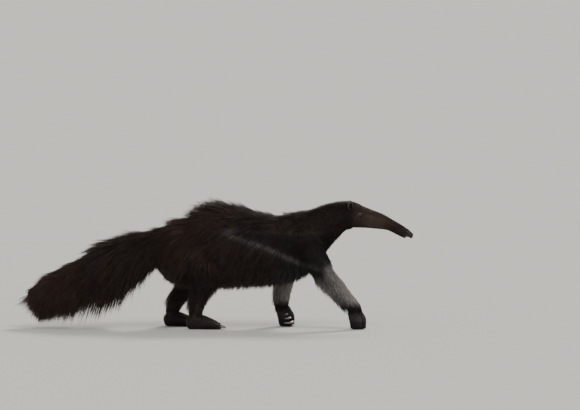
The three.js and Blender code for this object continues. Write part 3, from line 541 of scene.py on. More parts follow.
def face_relief(points):
    """Cheek, the hollow along the snout's side, and the ridge over it."""
    x, _, z = points.T
    far = np.hypot((x - CHEEK["x"]) / CHEEK["long"], (z - CHEEK["z"]) / CHEEK["tall"])
    up = z - spine_height(x)
    hollow = line_share(up + 6, 7) * ease(700, 740, x) * ease(860, 820, x)
    ridge = line_share(up - 14, 8) * ease(690, 730, x) * ease(840, 780, x)
    return CHEEK["height"] * bump(far, 1) - SNOUT["hollow"] * hollow + SNOUT["ridge"] * ridge


def head_relief(points):
    on_head = ease(600, 640, points[:, 0])
    return (eye_relief(points) + snout_relief(points) + face_relief(points)) * on_head


def hand_relief(wrist):
    """Folded fingers across the front of the fist, with knuckles near the floor."""
    def relief(points):
        x, y, z = (points - np.array([wrist[0] + FIST["ahead"], wrist[1], 0])).T
        fingers = np.cos(y / FIST["finger"] * 2 * math.pi) * FIST["furrow"]
        wrinkle = FIST["wrinkle"] * line_share(z - FIST["wrist_z"], 7)
        return fingers * ease(0, 22, x) * ease(96, 60, z) - wrinkle
    return relief


def foot_relief(ankle):
    """Furrows between the toes and the bend of the ankle."""
    def relief(points):
        x, y, z = (points - np.array([*ankle, 0])).T
        toes = np.cos((y / TOES["spread"]) * 2 * math.pi) * TOES["furrow"]
        wrinkle = TOES["wrinkle"] * line_share(x - TOES["wrinkle_x"], 6) * ease(40, 60, z)
        return toes * ease(62, 100, x) * ease(2, 12, z) - wrinkle
    return relief


def toe_middles(ankle, pinch=1):
    """Middles of the toes in an arc across the front of a hind foot."""
    for k in range(TOES["count"]):
        aside = (k - (TOES["count"] - 1) / 2) * TOES["spread"]
        ahead = FOOT_ROWS[-1][0] + TOES["ahead"] - aside * aside / TOES["bow"]
        yield np.array([ankle[0] + ahead, ankle[1] + aside * pinch, TOES["height"] - 1])


def ellipsoid_mesh(middle, radii, axes=np.eye(3), rings=12, sides=20):
    tilt = np.linspace(0.06, math.pi - 0.06, rings)
    turn = even_angles(sides)
    made = np.zeros((rings, sides, 3))
    made[..., 0] = -np.cos(tilt)[:, None] * radii[0]
    made[..., 1] = np.sin(tilt)[:, None] * np.cos(turn) * radii[1]
    made[..., 2] = np.sin(tilt)[:, None] * np.sin(turn) * radii[2]
    return ring_mesh(made @ np.array(axes) + middle)


class EarCup(Shape):
    """The thin cup of an ear. t runs from the middle of its back, 0, over the rim, 1, down inside it to 2."""

    def __init__(self, hand):
        tall = unit(to_side(EAR_UP, hand))
        opens = square_to(to_side(EAR_OPENS, hand), tall)
        samples = np.linspace(0, body.last, 900)
        t = np.interp(EAR["x"], body.section(samples)[0][:, 0], samples)
        root = to_side(body.surface(np.array([t]), np.array([EAR["angle"]]), 1.0)[0], hand)
        self.middle = root + tall * EAR["height"] * EAR["raised"]
        self.axes = np.stack([np.cross(opens, tall), opens, tall])
        self.radii = np.array([EAR["width"] / 2, EAR["depth"], EAR["height"] / 2])

    def surface(self, t, angle, share=0.0):
        inside = t > 1
        tilt = np.where(inside, 2 - t, t) * EAR["wrap"]
        inset = np.where(inside, EAR["wall"] + EAR["coat"] * share, -EAR["coat"] * share)
        reach = self.radii - inset[:, None]
        pinched = 1 - EAR["pinch"] * np.clip(0.3 - np.sin(angle), 0, 1.3)
        local = [np.sin(tilt) * np.cos(angle) * pinched, -np.cos(tilt), np.sin(tilt) * np.sin(angle)]
        return np.stack(local, axis=1) * reach @ self.axes + self.middle

    def normal(self, t, angle):
        return unit(self.surface(t, angle, 1.0) - self.surface(t, angle))

    def push_out(self, points, clear):
        """The thin ear holds no hair off."""
        return points

    def local(self, points):
        """Places in shares of the ear's size: across it, the way it opens, and up."""
        return (points - self.middle) @ self.axes.T / self.radii

    def skin(self):
        t = np.concatenate([np.linspace(0.06, 1, 12), 2 - np.linspace(0.99, 0.08, 12)])
        points = self.surface(*pairs_of(t, even_angles(EAR["sides"])))
        return ring_mesh(points.reshape(len(t), EAR["sides"], 3))


ears = {hand: EarCup(hand) for hand in SIDES.values()}

# How far the skin is smoothed on both sides of a seam, and where the ears' and the toes' seams are.
SEAM_RADIUS = {"ear": 7, "toe": 3.5, "other": 16}
EAR_SEAMS_FROM = {"x": 590, "z": 540}
TOE_SEAMS_BELOW = 34
SEAM_PULL = 0.6
# Distance in metres past which a vertex of the joined skin is a new one, on a seam.
NEW_VERTEX = 2e-6


def union_of(name, parts):
    """One closed skin from overlapping closed parts, smoothed along the lines where they met."""
    group = bpy.data.collections.new("skin_parts")
    first, *others = parts
    for part in others:
        group.objects.link(part)
    cut = first.modifiers.new("union", "BOOLEAN")
    set_all(cut, operation="UNION", solver="EXACT", operand_type="COLLECTION", collection=group)
    before = np.concatenate([points_of(part) for part in parts])
    mesh = bpy.data.meshes.new_from_object(first.evaluated_get(bpy.context.evaluated_depsgraph_get()))
    for part in parts:
        bpy.data.objects.remove(part)
    bpy.data.collections.remove(group)
    made = place_object(name, mesh)
    smooth_seams(made, before)
    return made


def points_of(obj):
    co = np.zeros(len(obj.data.vertices) * 3)
    obj.data.vertices.foreach_get("co", co)
    return co.reshape(-1, 3)


def smooth_seams(obj, before, rounds=14):
    """Relaxes the vertices round each line where two parts were joined."""
    points = points_of(obj)
    is_new = nearest(points, before)[1] > NEW_VERTEX
    seams = points[is_new]
    if not len(seams):
        return
    gap = nearest(points, seams)[1] / MM
    x, _, z = to_model(points).T
    near = [(x > EAR_SEAMS_FROM["x"]) & (z > EAR_SEAMS_FROM["z"]), z < TOE_SEAMS_BELOW]
    radius = np.select(near, [SEAM_RADIUS["ear"], SEAM_RADIUS["toe"]], SEAM_RADIUS["other"])
    weight = ease(radius, 0, gap)[:, None] * SEAM_PULL
    edges = np.zeros(len(obj.data.edges) * 2, int)
    obj.data.edges.foreach_get("vertices", edges)
    a, b = edges.reshape(-1, 2).T
    count = np.bincount(np.concatenate([a, b]), minlength=len(points))[:, None]
    for _ in range(rounds):
        total = np.zeros_like(points)
        np.add.at(total, a, points[b])
        np.add.at(total, b, points[a])
        points += (total / np.maximum(count, 1) - points) * weight
    obj.data.vertices.foreach_set("co", points.ravel())
    obj.data.update()


# Markings

# Tones of the coat, from 0, black, to 1, off-white, and what some places add to them.
TONES = {"coat": 0.17, "rump": 0.06, "rear": 0.05, "neck": -0.05, "face": 0.34, "cheek": 0.09, "snout": -0.27,
         "crown": -0.07, "band": 0.05, "upper_line": 0.13, "lower_line": 0.44, "line_in_front": -0.10}
LEG_TONES = {"black": 0.08, "line": 0.24, "pale": 0.30, "low": 0.20, "front": 0.26, "low_front": -0.12,
             "fist": 0.34, "wrist": 0.06, "knuckles": 0.10}


def marking(points):
    """How pale the coat is at points in model millimetres."""
    x, y, z = points.T
    tone = TONES["coat"] + TONES["rump"] * ease(60, -220, x) * ease(380, 520, z)
    tone += TONES["rear"] * ease(300, -300, x)
    neck = ease(470, 600, x)
    tone += TONES["neck"] * neck
    head = ease(575, 720, x) * ease(420, 440, z)
    face = TONES["face"] + TONES["cheek"] * ease(665, 712, x) + TONES["snout"] * ease(752, 862, x)
    tone = blend(tone, face, head)
    tone += TONES["crown"] * head * ease(8, 26, z - spine_height(x))
    top, foot = value_at(BAND_TOP, x), value_at(BAND_FOOT, x)
    from_point = ease(-20, 40, x)
    inside = from_point * ease(foot, foot + 12, z) * ease(top, top - 10, z)
    tone = blend(tone, TONES["band"], inside * ease(640, 560, x))
    upper_line = line_share(z - top - 3, 7) * ease(-10, 60, x) * ease(520, 470, x)
    lower_line = line_share(z - foot + 4, 11 + 5 * ease(80, 420, x)) * from_point
    strength = TONES["lower_line"] + TONES["line_in_front"] * ease(240, 320, x)
    on_side = ease(12, 40, np.abs(y)) * (1 - neck)
    tone += (TONES["upper_line"] * upper_line + strength * lower_line) * on_side
    for hand in SIDES.values():
        along, tall, _ = eye_measures(points, hand)
        brow = brow_share(along, tall, PALE_BROW["thick"], PALE_BROW["long"], PALE_BROW["behind"])
        tone += PALE_BROW["rise"] * brow * (y * hand > 0)
    return tone


def greyness(points):
    """1 where pale hair is grey and not brown: on the line under the shoulder band and on the forelegs."""
    x, _, z = points.T
    near_line = line_share(z - value_at(BAND_FOOT, x) + 4, 30) * ease(-40, 20, x)
    on_leg = ease(235, 255, x) * ease(352, 332, z)
    return np.maximum(near_line, on_leg)


def foreleg_marking(points, hand):
    """Black down to the elbow, then pale, most of all in front, with a dark wrist and dark knuckles."""
    x, _, z = points.T
    rows = np.array(FORELEG_RIGHT if hand < 0 else FORELEG_LEFT)[::-1]
    in_front = ease(-42, 34, x - np.interp(z, rows[:, 2], rows[:, 0]))
    begins = LEG_PALE["from"] - LEG_PALE["drop_behind"] * (1 - in_front)
    low = ease(290, 170, z)
    pale = ease(begins, begins - LEG_PALE["over"], z)
    line = line_share(z - value_at(BAND_FOOT, x) + 2, 15) * (1 - pale)
    front = LEG_TONES["front"] + LEG_TONES["low_front"] * low
    tone = LEG_TONES["black"] + LEG_TONES["line"] * line
    tone += pale * (LEG_TONES["pale"] + LEG_TONES["low"] * low + front * in_front)
    tone = blend(tone, LEG_TONES["fist"], ease(100, 72, z))
    tone = blend(tone, LEG_TONES["wrist"], line_share(z - 92, 22))
    return blend(LEG_TONES["knuckles"], tone, ease(15, 55, z))


def hindleg_marking(points):
    return 0.15 + 0.06 * ease(200, 80, points[:, 2])


def tail_marking(points):
    return 0.20 + 0.08 * ease(-500, -850, points[:, 0])


def ear_marking(points, ear):
    """Dark at its back and deep inside, with a paler rim."""
    opens = ear.local(points)[:, 1]
    return 0.16 + 0.38 * ease(-0.5, 0.15, opens)


# Materials

# Colours of brown and of grey hair, by tone.
COAT_RAMP = [
    (0.0, (0.0036, 0.0019, 0.0021)),
    (0.14, (0.0122, 0.0058, 0.0050)),
    (0.34, (0.058, 0.032, 0.023)),
    (0.44, (0.090, 0.062, 0.048)),
    (0.55, (0.165, 0.140, 0.123)),
    (0.8, (0.42, 0.388, 0.352)),
    (1.0, (0.70, 0.665, 0.620)),
]
GREY_RAMP = [
    (0.0, (0.0028, 0.0020, 0.0024)),
    (0.14, (0.0090, 0.0070, 0.0076)),
    (0.34, (0.050, 0.041, 0.043)),
    (0.55, (0.155, 0.141, 0.137)),
    (0.8, (0.42, 0.392, 0.365)),
    (1.0, (0.70, 0.668, 0.632)),
]
# Colours of bare skin from the middle of a pebble to its edge, of the eye from its pupil, and of horn.
BARE_RAMP = [(0.0, (0.010, 0.008, 0.008)), (0.8, (0.005, 0.004, 0.004))]
EYE_RAMP = [
    (0.0, (0.002, 0.002, 0.002)),
    (0.34, (0.002, 0.002, 0.002)),
    (0.40, (0.010, 0.005, 0.003)),
    (0.70, (0.015, 0.007, 0.004)),
    (0.80, (0.004, 0.003, 0.003)),
    (1.0, (0.010, 0.007, 0.006)),
]
HORN_RAMP = [
    (0.0, (0.045, 0.034, 0.026)),
    (0.45, (0.075, 0.058, 0.043)),
    (0.8, (0.13, 0.106, 0.082)),
    (1.0, (0.20, 0.170, 0.133)),
]
# Factor and offset that turn a value from 0 to 1 into a shift of tone or place.
SHIFTS = {"tuft": (0.20, -0.10), "tip": (0.10, -0.06), "fleck": (0.16, -0.08), "streak": (0.24, -0.14),
          "ray": (0.06, -0.03), "wet": (-0.42, 0.64)}


class Shader:
    """A material whose nodes are made one after another, each with its inputs by name or place."""

    def __init__(self, name):
        self.material = bpy.data.materials.new(name)
        self.material.use_nodes = True
        self.tree = self.material.node_tree

    def fill(self, node, inputs):
        for key, value in inputs.items():
            if isinstance(value, bpy.types.NodeSocket):
                self.tree.links.new(value, node.inputs[key])
            else:
                node.inputs[key].default_value = value

    def node(self, kind, inputs, output=0, **settings):
        made = self.tree.nodes.new("ShaderNode" + kind)
        set_all(made, **settings)
        self.fill(made, inputs)
        return made.outputs[output]

    def attribute(self, name):
        return self.node("Attribute", {}, "Fac", attribute_type="GEOMETRY", attribute_name=name)

    def place(self):
        return self.node("TexCoord", {}, "Object")

    def maths(self, operation, *values, clamp=False):
        return self.node("Math", dict(enumerate(values)), operation=operation, use_clamp=clamp)

    def shift(self, value, kind):
        return self.maths("MULTIPLY_ADD", value, *SHIFTS[kind])

    def noise(self, place, scale, detail=2):
        return self.node("TexNoise", {"Vector": place, "Scale": scale, "Detail": detail})

    def ramp(self, factor, stops):
        colour = self.node("ValToRGB", {0: factor})
        elements = colour.node.color_ramp.elements
        while len(elements) < len(stops):
            elements.new(0.5)
        for element, (place, shade) in zip(elements, stops):
            set_all(element, position=place, color=(*shade, 1))
        return colour

    def mix(self, factor, a, b):
        return self.node("Mix", {0: factor, 6: a, 7: b}, 2, data_type="RGBA")

    def hair(self, tone):
        """Brown or grey hair of a tone, by the grey attribute."""
        return self.mix(self.attribute("grey"), self.ramp(tone, COAT_RAMP), self.ramp(tone, GREY_RAMP))

    def relief(self, height, strength, distance):
        return self.node("Bump", {"Height": height, "Strength": strength, "Distance": distance})

    def surface(self, inputs):
        """The finished material, with these inputs of its surface."""
        self.fill(self.tree.nodes["Principled BSDF"], inputs)
        return self.material


def coat_material():
    """Coarse hair: dark at the root, ticked and slightly paler towards the tip, each tuft its own shade."""
    made = Shader("anteater_coat")
    tone = made.attribute("tone")
    for value, kind in ((made.attribute("tint"), "tuft"), (made.attribute("along"), "tip")):
        tone = made.maths("ADD", tone, made.shift(value, kind))
    tone = made.maths("ADD", tone, made.shift(made.noise(made.place(), 90, 3), "fleck"), clamp=True)
    return made.surface({"Base Color": made.hair(tone), "Roughness": 0.5, "Specular IOR Level": 0.18,
                         "Sheen Weight": 0.05, "Sheen Roughness": 0.5})


def skin_material():
    """The skin under the coat: short flat hair where the tone says so, and bare skin by the bare mask."""
    made = Shader("anteater_skin")
    bare = made.attribute("bare")
    place = made.place()
    hair = made.noise(made.node("Mapping", {"Vector": place, "Scale": (120, 900, 900)}), 1, 4)
    haired = made.hair(made.maths("ADD", made.attribute("tone"), made.shift(hair, "streak"), clamp=True))
    pores = made.node("TexVoronoi", {"Vector": place, "Scale": 620}, "Distance", feature="F1")
    strands = made.maths("MULTIPLY", hair, made.maths("SUBTRACT", 1, bare))
    pebbles = made.maths("MULTIPLY", pores, made.maths("MULTIPLY", bare, -0.22))
    relief = made.relief(made.maths("ADD", strands, pebbles), strength=0.5, distance=0.0012)
    return made.surface({"Base Color": made.mix(bare, haired, made.ramp(pores, BARE_RAMP)), "Normal": relief,
                         "Roughness": made.shift(bare, "wet"), "Specular IOR Level": 0.5})


def eye_material():
    """A dark brown eye with a round pupil, a darker rim and a wet surface."""
    made = Shader("anteater_eye")
    rays = made.shift(made.noise(made.place(), 700), "ray")
    gaze = made.maths("ADD", made.attribute("gaze"), rays, clamp=True)
    iris = made.ramp(gaze, EYE_RAMP)
    return made.surface({"Base Color": iris, "Roughness": 0.07, "Specular IOR Level": 0.2})


def horn_material():
    """Claw: grey-brown horn, darker at its root, with fine lengthwise ridges."""
    made = Shader("anteater_horn")
    along = made.attribute("along")
    across = made.maths("MULTIPLY", made.attribute("around"), 26)
    grain = made.noise(made.node("CombineXYZ", {0: made.maths("MULTIPLY", along, 3), 1: across}), 1.6, 5)
    shade = made.maths("MULTIPLY_ADD", grain, 0.5, along, clamp=True)
    relief = made.relief(grain, strength=0.4, distance=0.0006)
    return made.surface({"Base Color": made.ramp(shade, HORN_RAMP), "Normal": relief, "Roughness": 0.38})


def floor_material():
    return Shader("studio_floor").surface({"Base Color": (0.54, 0.53, 0.51, 1), "Roughness": 0.9})


materials = {
    "coat": coat_material(),
    "skin": skin_material(),
    "eye": eye_material(),
    "horn": horn_material(),
}


def set_values(obj, **attributes):
    """Values at each vertex, by the name of their attribute."""
    for name, values in attributes.items():
        layer = obj.data.attributes.new(name, "FLOAT", "POINT")
        layer.data.foreach_set("value", np.asarray(values, np.float32))


def dress(piece, material, slot, *nodes):
    """Gives a piece its material, says what it rides on and hides the nodes that it stands for. The slot is
    not used.
    """
    piece.data.materials.clear()
    piece.data.materials.append(materials[material])
    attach(piece, "root")
    if nodes:
        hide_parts(*nodes)


# Coat

# Width of a tuft at each point of its path, from root to tip, by its number of steps.
WIDTH_PROFILE = {2: [0.85, 0.8, 0], 3: [0.75, 1, 0.7, 0], 4: [0.7, 1, 0.85, 0.5, 0]}
# Tufts of each kind of coat: how many a piece has, their steps, width and thickness, and the tufts in a lock.
TUFTS = {
    "rump": (3900, 4, 3.2, 1.0, 14),
    "saddle": (4300, 4, 3.2, 1.0, 14),
    "shoulder": (4000, 4, 3.2, 1.0, 14),
    "neck": (4600, 3, 2.4, 0.8, 9),
    "head": (8500, 2, 1.1, 0.35, 5),
    "ear": (700, 2, 1.2, 0.35, 4),
    "plume": (3600, 4, 3.6, 1.1, 12),
    "leg": (3800, 3, 2.2, 0.7, 8),
    "paw": (1500, 2, 1.5, 0.5, 5),
}
# Size of each tuft's own patch on the map, and the map's empty margin.
TUFT_PATCH = 0.003
MAP_MARGIN = 0.01
# The dip between the hump and the neck, in rows of the body.
DIP = {"row": 8.7, "rows": 1.4}
# Bend of a hair as a share of its length, how far the form's own skin holds it off, how stiff it is, how even
# its tone is, and its least height over the floor as it grows and at last.
HAIR = {"bend": 0.035, "hold": 0.55, "stiffness": 0.4, "evenness": 0.35, "floor": 3, "last_floor": 2}
# Steps of the two-way series of places that fills a square evenly, from the plastic number.
EVEN_STEPS = (0.7548776662, 0.5698402910)


def scatter(form, t_range, angle_range, count, density, seed):
    """Places for a count of roots, spread evenly over the skin's area times density(t, angle)."""
    ts = np.linspace(*t_range, 121)
    angles = np.linspace(*angle_range, 61)
    t, a = pairs_of((ts[1:] + ts[:-1]) / 2, (angles[1:] + angles[:-1]) / 2)
    weight = np.linalg.norm(np.cross(form.lengthwise(t, a), form.around(t, a)), axis=1) * density(t, a)
    weight = weight.reshape(len(ts) - 1, len(angles) - 1)
    rows = np.concatenate([[0], np.cumsum(weight.sum(axis=1))])
    first, second = ((seed * 0.37 + np.arange(count) * step) % 1 for step in EVEN_STEPS)
    first *= rows[-1]
    row = np.clip(np.searchsorted(rows, first) - 1, 0, len(ts) - 2)
    across = np.concatenate([np.zeros((len(weight), 1)), np.cumsum(weight, axis=1)], axis=1)
    across /= across[:, -1:]
    a_at = [np.interp(s, across[r], angles) for s, r in zip(second, row)]
    return np.interp(first, rows, ts), np.array(a_at)


def grow_paths(roots, leave, length, droop, clear, obstacles, steps, sunk):
    """Points along each hair, from its root to its tip, bending down and kept off the obstacles."""
    way = leave
    here = roots - leave * sunk
    made = [here]
    for k in range(steps):
        way = unit(way + PLUMB * np.reshape(droop / steps, (-1, 1)))
        moved = here + way * (length / steps)[:, None]
        for form, share in obstacles:
            moved = form.push_out(moved, clear * share * (k + 1) / steps)
        moved[:, 2] = np.maximum(moved[:, 2], HAIR["floor"])
        way = unit(blend(unit(moved - here), way, HAIR["stiffness"]))
        here = moved
        made.append(here)
    return np.stack(made, axis=1)


def narrowed(points, widest, share=0.3):
    """Points whose reach to either side past the widest is drawn in to a share of it."""
    y = points[..., 1]
    past = np.maximum(np.abs(y) - widest, 0) * (1 - share)
    return points - ACROSS * (np.sign(y) * past)[..., None]


def gather(path, size, strength, rng):
    """Draws the ends of neighbouring hairs together into locks round some of them."""
    leaders = rng.permutation(len(path))[: len(path) // size]
    leader = leaders[nearest(path[:, 0], path[leaders, 0])[0]]
    share = np.linspace(0, 1, path.shape[1])[None, :, None]
    pull = strength * rng.uniform(0.45, 1, (len(path), 1, 1)) * share**1.3
    return path + (path[leader] - path) * pull, rng.random(len(path))[leader]


def tuft_mesh(name, path, outwards, width, thick, marks, tint, patch):
    """Tapered three-sided tufts along the paths. Each mark has a value for each point of a path."""
    count, points = path.shape[:2]
    rings = points - 1
    profile = np.array(WIDTH_PROFILE[rings])[None, :, None]
    tangent = unit(np.gradient(path, axis=1))
    flank = unit(np.cross(tangent, outwards[:, None, :]))
    half = flank * (profile * width[:, None, None] / 2)
    ridge = np.cross(flank, tangent) * profile * thick[:, None, None]
    corners = np.stack([path - half, path + ridge, path + half], axis=2)
    co = np.concatenate([corners[:, :rings].reshape(count, -1, 3), path[:, -1:]], axis=1)
    per_tuft = rings * 3 + 1
    faces = [[0, 2, 1]]
    for ring in range(rings):
        for j in range(3):
            a, b = ring * 3 + j, ring * 3 + (j + 1) % 3
            faces += [[a, b, b + 3], [a, b + 3, a + 3]] if ring < rings - 1 else [[a, b, rings * 3]]
    tris = (np.array(faces)[None] + (np.arange(count) * per_tuft)[:, None, None]).reshape(-1, 3)
    made = mesh_object(name, co.reshape(-1, 3), tris.tolist())
    point_of = np.append(np.repeat(np.arange(rings), 3), rings)
    along = point_of / rings
    aside = np.append(np.tile([0, 0.5, 1], rings), 0.5)
    uv = [at[:, None] + TUFT_PATCH * (inside - 0.5) for at, inside in zip(patch, (along, aside))]
    uv = np.stack(uv, axis=-1).reshape(-1, 2)
    layer = made.data.uv_layers.new(name="OFBake")
    layer.data.foreach_set("uv", uv[tris.ravel()].ravel())
    marks = {mark: values[:, point_of].ravel() for mark, values in marks.items()}
    set_values(made, along=np.tile(along, count), **marks, tint=np.repeat(tint, per_tuft))
    return made


def evenly(t, a):
    return 1


def add_coat(name, kind, form, t_range, angle_range, rules, *, slot, tone_at, seed, density=evenly,
             obstacles=(), strength=0.6, sunk=1.5, stray=0.1, most_clear=45, widest=148, relief=no_relief):
    """One coat piece: roots on a form, hairs by the rules, drawn into locks and made into tufts."""
    count, steps, width, thick, lock_size = TUFTS[kind]
    rng = np.random.default_rng(seed)
    t, a = scatter(form, t_range, angle_range, count, density, seed)
    roots = form.surface(t, a)
    normals = form.normal(t, a)
    roots = roots + normals * relief(roots)[:, None]
    depth = form.depth(t, a)
    lie, length, rise, droop = rules(t, a, unit(form.lengthwise(t, a)), depth)
    lie = lie + rng.normal(0, stray, lie.shape)
    lie = unit(lie - normals * (lie * normals).sum(axis=1, keepdims=True))
    length = length * rng.uniform(0.75, 1.1, count)
    layer = rng.uniform(0.25, 1.0, count) ** 0.8
    lift = np.clip(rise * layer, 0.02, 1.4)
    leave = lie * np.cos(lift)[:, None] + normals * np.sin(lift)[:, None]
    clear = np.minimum(depth, most_clear) * layer
    path = grow_paths(roots, leave, length, droop, clear, [(form, HAIR["hold"]), *obstacles], steps, sunk)
    bend = rng.normal(0, HAIR["bend"], (count, 1, 3)) * length[:, None, None]
    path = path + bend * np.linspace(0, 1, steps + 1)[None, :, None] ** 2
    path, lock_tint = gather(path, lock_size, strength, rng)
    path = narrowed(path, widest)
    path[:, :, 2] = np.maximum(path[:, :, 2], HAIR["last_floor"])
    tone = tone_at(path.reshape(-1, 3)).reshape(path.shape[:2])
    tone = blend(tone, tone[:, steps // 2 + 1, None], HAIR["evenness"])
    marks = {"tone": tone, "grey": greyness(path.reshape(-1, 3)).reshape(path.shape[:2])}
    tint = blend(lock_tint, rng.random(count), 0.5)
    patch = [MAP_MARGIN + (1 - 2 * MAP_MARGIN) * ((at - low) / (high - low))
             for at, (low, high) in ((t, t_range), (a, angle_range))]
    wide = width * rng.uniform(0.7, 1.3, count)
    dress(tuft_mesh(name, path, normals, wide, thick * wide / width, marks, tint, patch), "coat", slot)


def body_rules(t, a, ahead, depth):
    """Back along the spine on top, back and down on the flanks, and hanging below."""
    top = np.clip(np.sin(a), 0, 1) ** 1.5
    below = np.clip(-np.sin(a), 0, 1)
    aside = np.clip(1 - top - below**2, 0, 1)
    on_top, at_side, underneath = row_at(body.rows, np.clip(t, 0, body.last))[:, 9:].T
    length = on_top * top + at_side * aside + underneath * below**2
    on_trunk = ease(12.5, 9.5, t)
    hang = blend(0.25, 0.15 + 0.75 * aside + 1.2 * below, on_trunk)
    lie = -ahead + PLUMB * hang[:, None] - ACROSS * (np.cos(a) * 0.7 * top * on_trunk)[:, None]
    in_dip = top * bump(t - DIP["row"], DIP["rows"])
    rise = np.arcsin(np.clip(depth * (1.15 + 0.4 * top - 0.45 * in_dip) / length, 0.05, 0.9))
    droop = 0.35 - 0.22 * top + (0.5 * aside + below) * on_trunk
    return lie, length, rise, droop * ease(13, 9, t)


def tail_rules(t, a, ahead, depth):
    """Hanging plumb and trailing from the sides and below; lying back along the top."""
    top = ease(0.25, 1.0, np.sin(a))
    near_tip = ease(3.5, 0, t)
    rows = row_at(tail.rows, t)
    skin_below, coat_below = rows[:, 4], rows[:, 7]
    hang = skin_below * np.clip(1 + np.sin(a), 0, 1) + coat_below
    length = blend(hang * (1.04 + 0.02 * np.sin(a)), 130 - 85 * near_tip, top)
    lie = BACKWARDS * (0.38 + 0.9 * top - 0.25 * near_tip)[:, None]
    lie = lie + PLUMB * (1.0 - 0.75 * top + 0.6 * near_tip)[:, None]
    lie = lie + ACROSS * (np.cos(a) * 0.1 * (1 - top))[:, None]
    return lie, length, blend(0.16, 0.62 - 0.3 * near_tip, top), 0.25 + 0.15 * top


def leg_rules(form, is_fore):
    """Down the leg, with a fringe behind, and longest on the thigh."""
    def rules(t, a, ahead, depth):
        fringe = ease(1.6, 3, t) * ease(form.last - 0.9, form.last - 2.4, t)
        fringe *= ease(0.1, 0.85, -np.sin(a))
        if is_fore:
            length = 24 + 46 * fringe + depth * 0.6
        else:
            length = 30 + 55 * ease(4.2, 2.2, t) + 52 * fringe
        lie = ahead + PLUMB * 0.25 + BACKWARDS * (0.35 * fringe)[:, None]
        return lie, length, np.arcsin(np.clip(depth * 1.2 / length, 0.06, 0.7)) + 0.22 * fringe, 0.25
    return rules


def paw_rules(t, a, ahead, depth):
    """Short and forwards, bending down over the toes."""
    over_toes = ease(2.9, 4.1, t)
    under = ease(0.1, 0.8, -np.sin(a)) * (t > 0.5)
    lie = ahead + PLUMB * (0.25 + 0.5 * over_toes + 0.4 * under)[:, None]
    return lie, 10 + depth * 0.6 + 9 * over_toes, 0.32, 0.2 + 0.4 * over_toes


def ear_rules(t, a, ahead, depth):
    """Up the back of the ear and out over its rim."""
    return np.array([-0.2, 0, 0.9]) + ahead * 0.7, 7 - 2.5 * ease(1.05, 1.4, t), 0.3, 0


# Pieces

# Least height of the skin over the floor, in metres.
FLOOR_GAP = 0.0005


def skin_parts():
    """Names of the closed parts that the skin is joined from, with their points and faces."""
    yield "body", skin_mesh(body, head_relief)
    yield "tail", skin_mesh(tail)
    for name, form in legs.items():
        yield name, skin_mesh(form)
    for side, hand in SIDES.items():
        wrist, ankle = joint_of(f"foreleg_{side}"), joint_of(f"hindleg_{side}")
        yield f"hand_{side}", skin_mesh(ends[f"hand_{side}"], hand_relief(wrist))
        yield f"foot_{side}", skin_mesh(ends[f"foot_{side}"], foot_relief(ankle))
        for k, toe in enumerate(toe_middles(ankle, TOES["pinch"])):
            yield f"toe_{side}_{k}", ellipsoid_mesh(toe, (TOES["reach"], TOES["half"], TOES["height"]))
        yield f"ear_{side}", ears[hand].skin()


def add_skin():
    """One skin over all the flesh, with its markings and painted shade under the long coat."""
    skin = union_of("skin", [mesh_object(name + "_part", *made) for name, made in skin_parts()])
    points = points_of(skin)
    points[:, 2] = np.maximum(points[:, 2], FLOOR_GAP)
    skin.data.vertices.foreach_set("co", points.ravel())
    skin.data.shade_smooth()
    model = to_model(points)
    set_values(skin, tone=skin_tone_and_painted_shade(model), grey=greyness(model), bare=bare_mask(model))
    flesh = ["torso", "neck", "head", "nose", "lower_jaw", "tail"]
    flesh += [f"ear_{side}" for side in SIDES] + list(LEG_TABLES) + list(ends)
    dress(skin, "skin", "coat", *flesh)


# The skin's markings, with painted shade where the long coat covers it.
def skin_tone_and_painted_shade(points):
    x, y, z = points.T
    tone = marking(points)
    for hand in SIDES.values():
        fore = (np.sign(y) == hand) & (x > 240) & (z < 300)
        tone = np.where(fore, foreleg_marking(points, hand), tone)
    hind = (x < 40) & (x > -300) & (z < 240)
    tone = np.where(hind, hindleg_marking(points), tone)
    tone = np.where(x < -300, tail_marking(points), tone)
    # Painted shade: from x 560 back, where the long coat lies over it, the skin is darkened to 0.7 of its
    # tone, for the shade between the hairs.
    tone *= 0.7 + 0.3 * ease(560, 640, x)
    for ear in ears.values():
        local = ear.local(points)
        on_ear = (np.linalg.norm(local, axis=1) < 1.12) & (local[:, 2] > -0.4)
        tone = np.where(on_ear, ear_marking(points, ear), tone)
    return tone


def bare_mask(points):
    """1 on bare skin: the nose pad, the edges of the lids and the soles."""
    x, y, z = points.T
    bare = np.maximum(ease(NOSE_PAD["from"] - 5, NOSE_PAD["from"] + 3, x), ease(4, 1, z))
    for hand in SIDES.values():
        opening = eye_measures(points, hand)[2]
        bare = np.maximum(bare, ease(2.1, 1.35, opening) * (y * hand > 0))
    return bare


def add_eyes():
    """Eyeballs, each with its angle off the gaze as an attribute, for the pupil."""
    for side, hand in SIDES.items():
        gaze = unit(to_side(GAZE, hand))
        axes = np.array(Vector(gaze).to_track_quat("X", "Z").to_matrix().transposed())
        points, faces = ellipsoid_mesh(np.zeros(3), (EYE["radius"],) * 3, axes, rings=40, sides=48)
        ball = mesh_object(f"eyeball_{side}", points + eye_centre(hand), faces)
        away = np.arccos(np.clip(unit(points) @ gaze, -1, 1)) / (math.pi * EYE["reach"])
        set_values(ball, gaze=np.clip(away, 0, 1))
        dress(ball, "eye", "eye", f"eye_{side}")


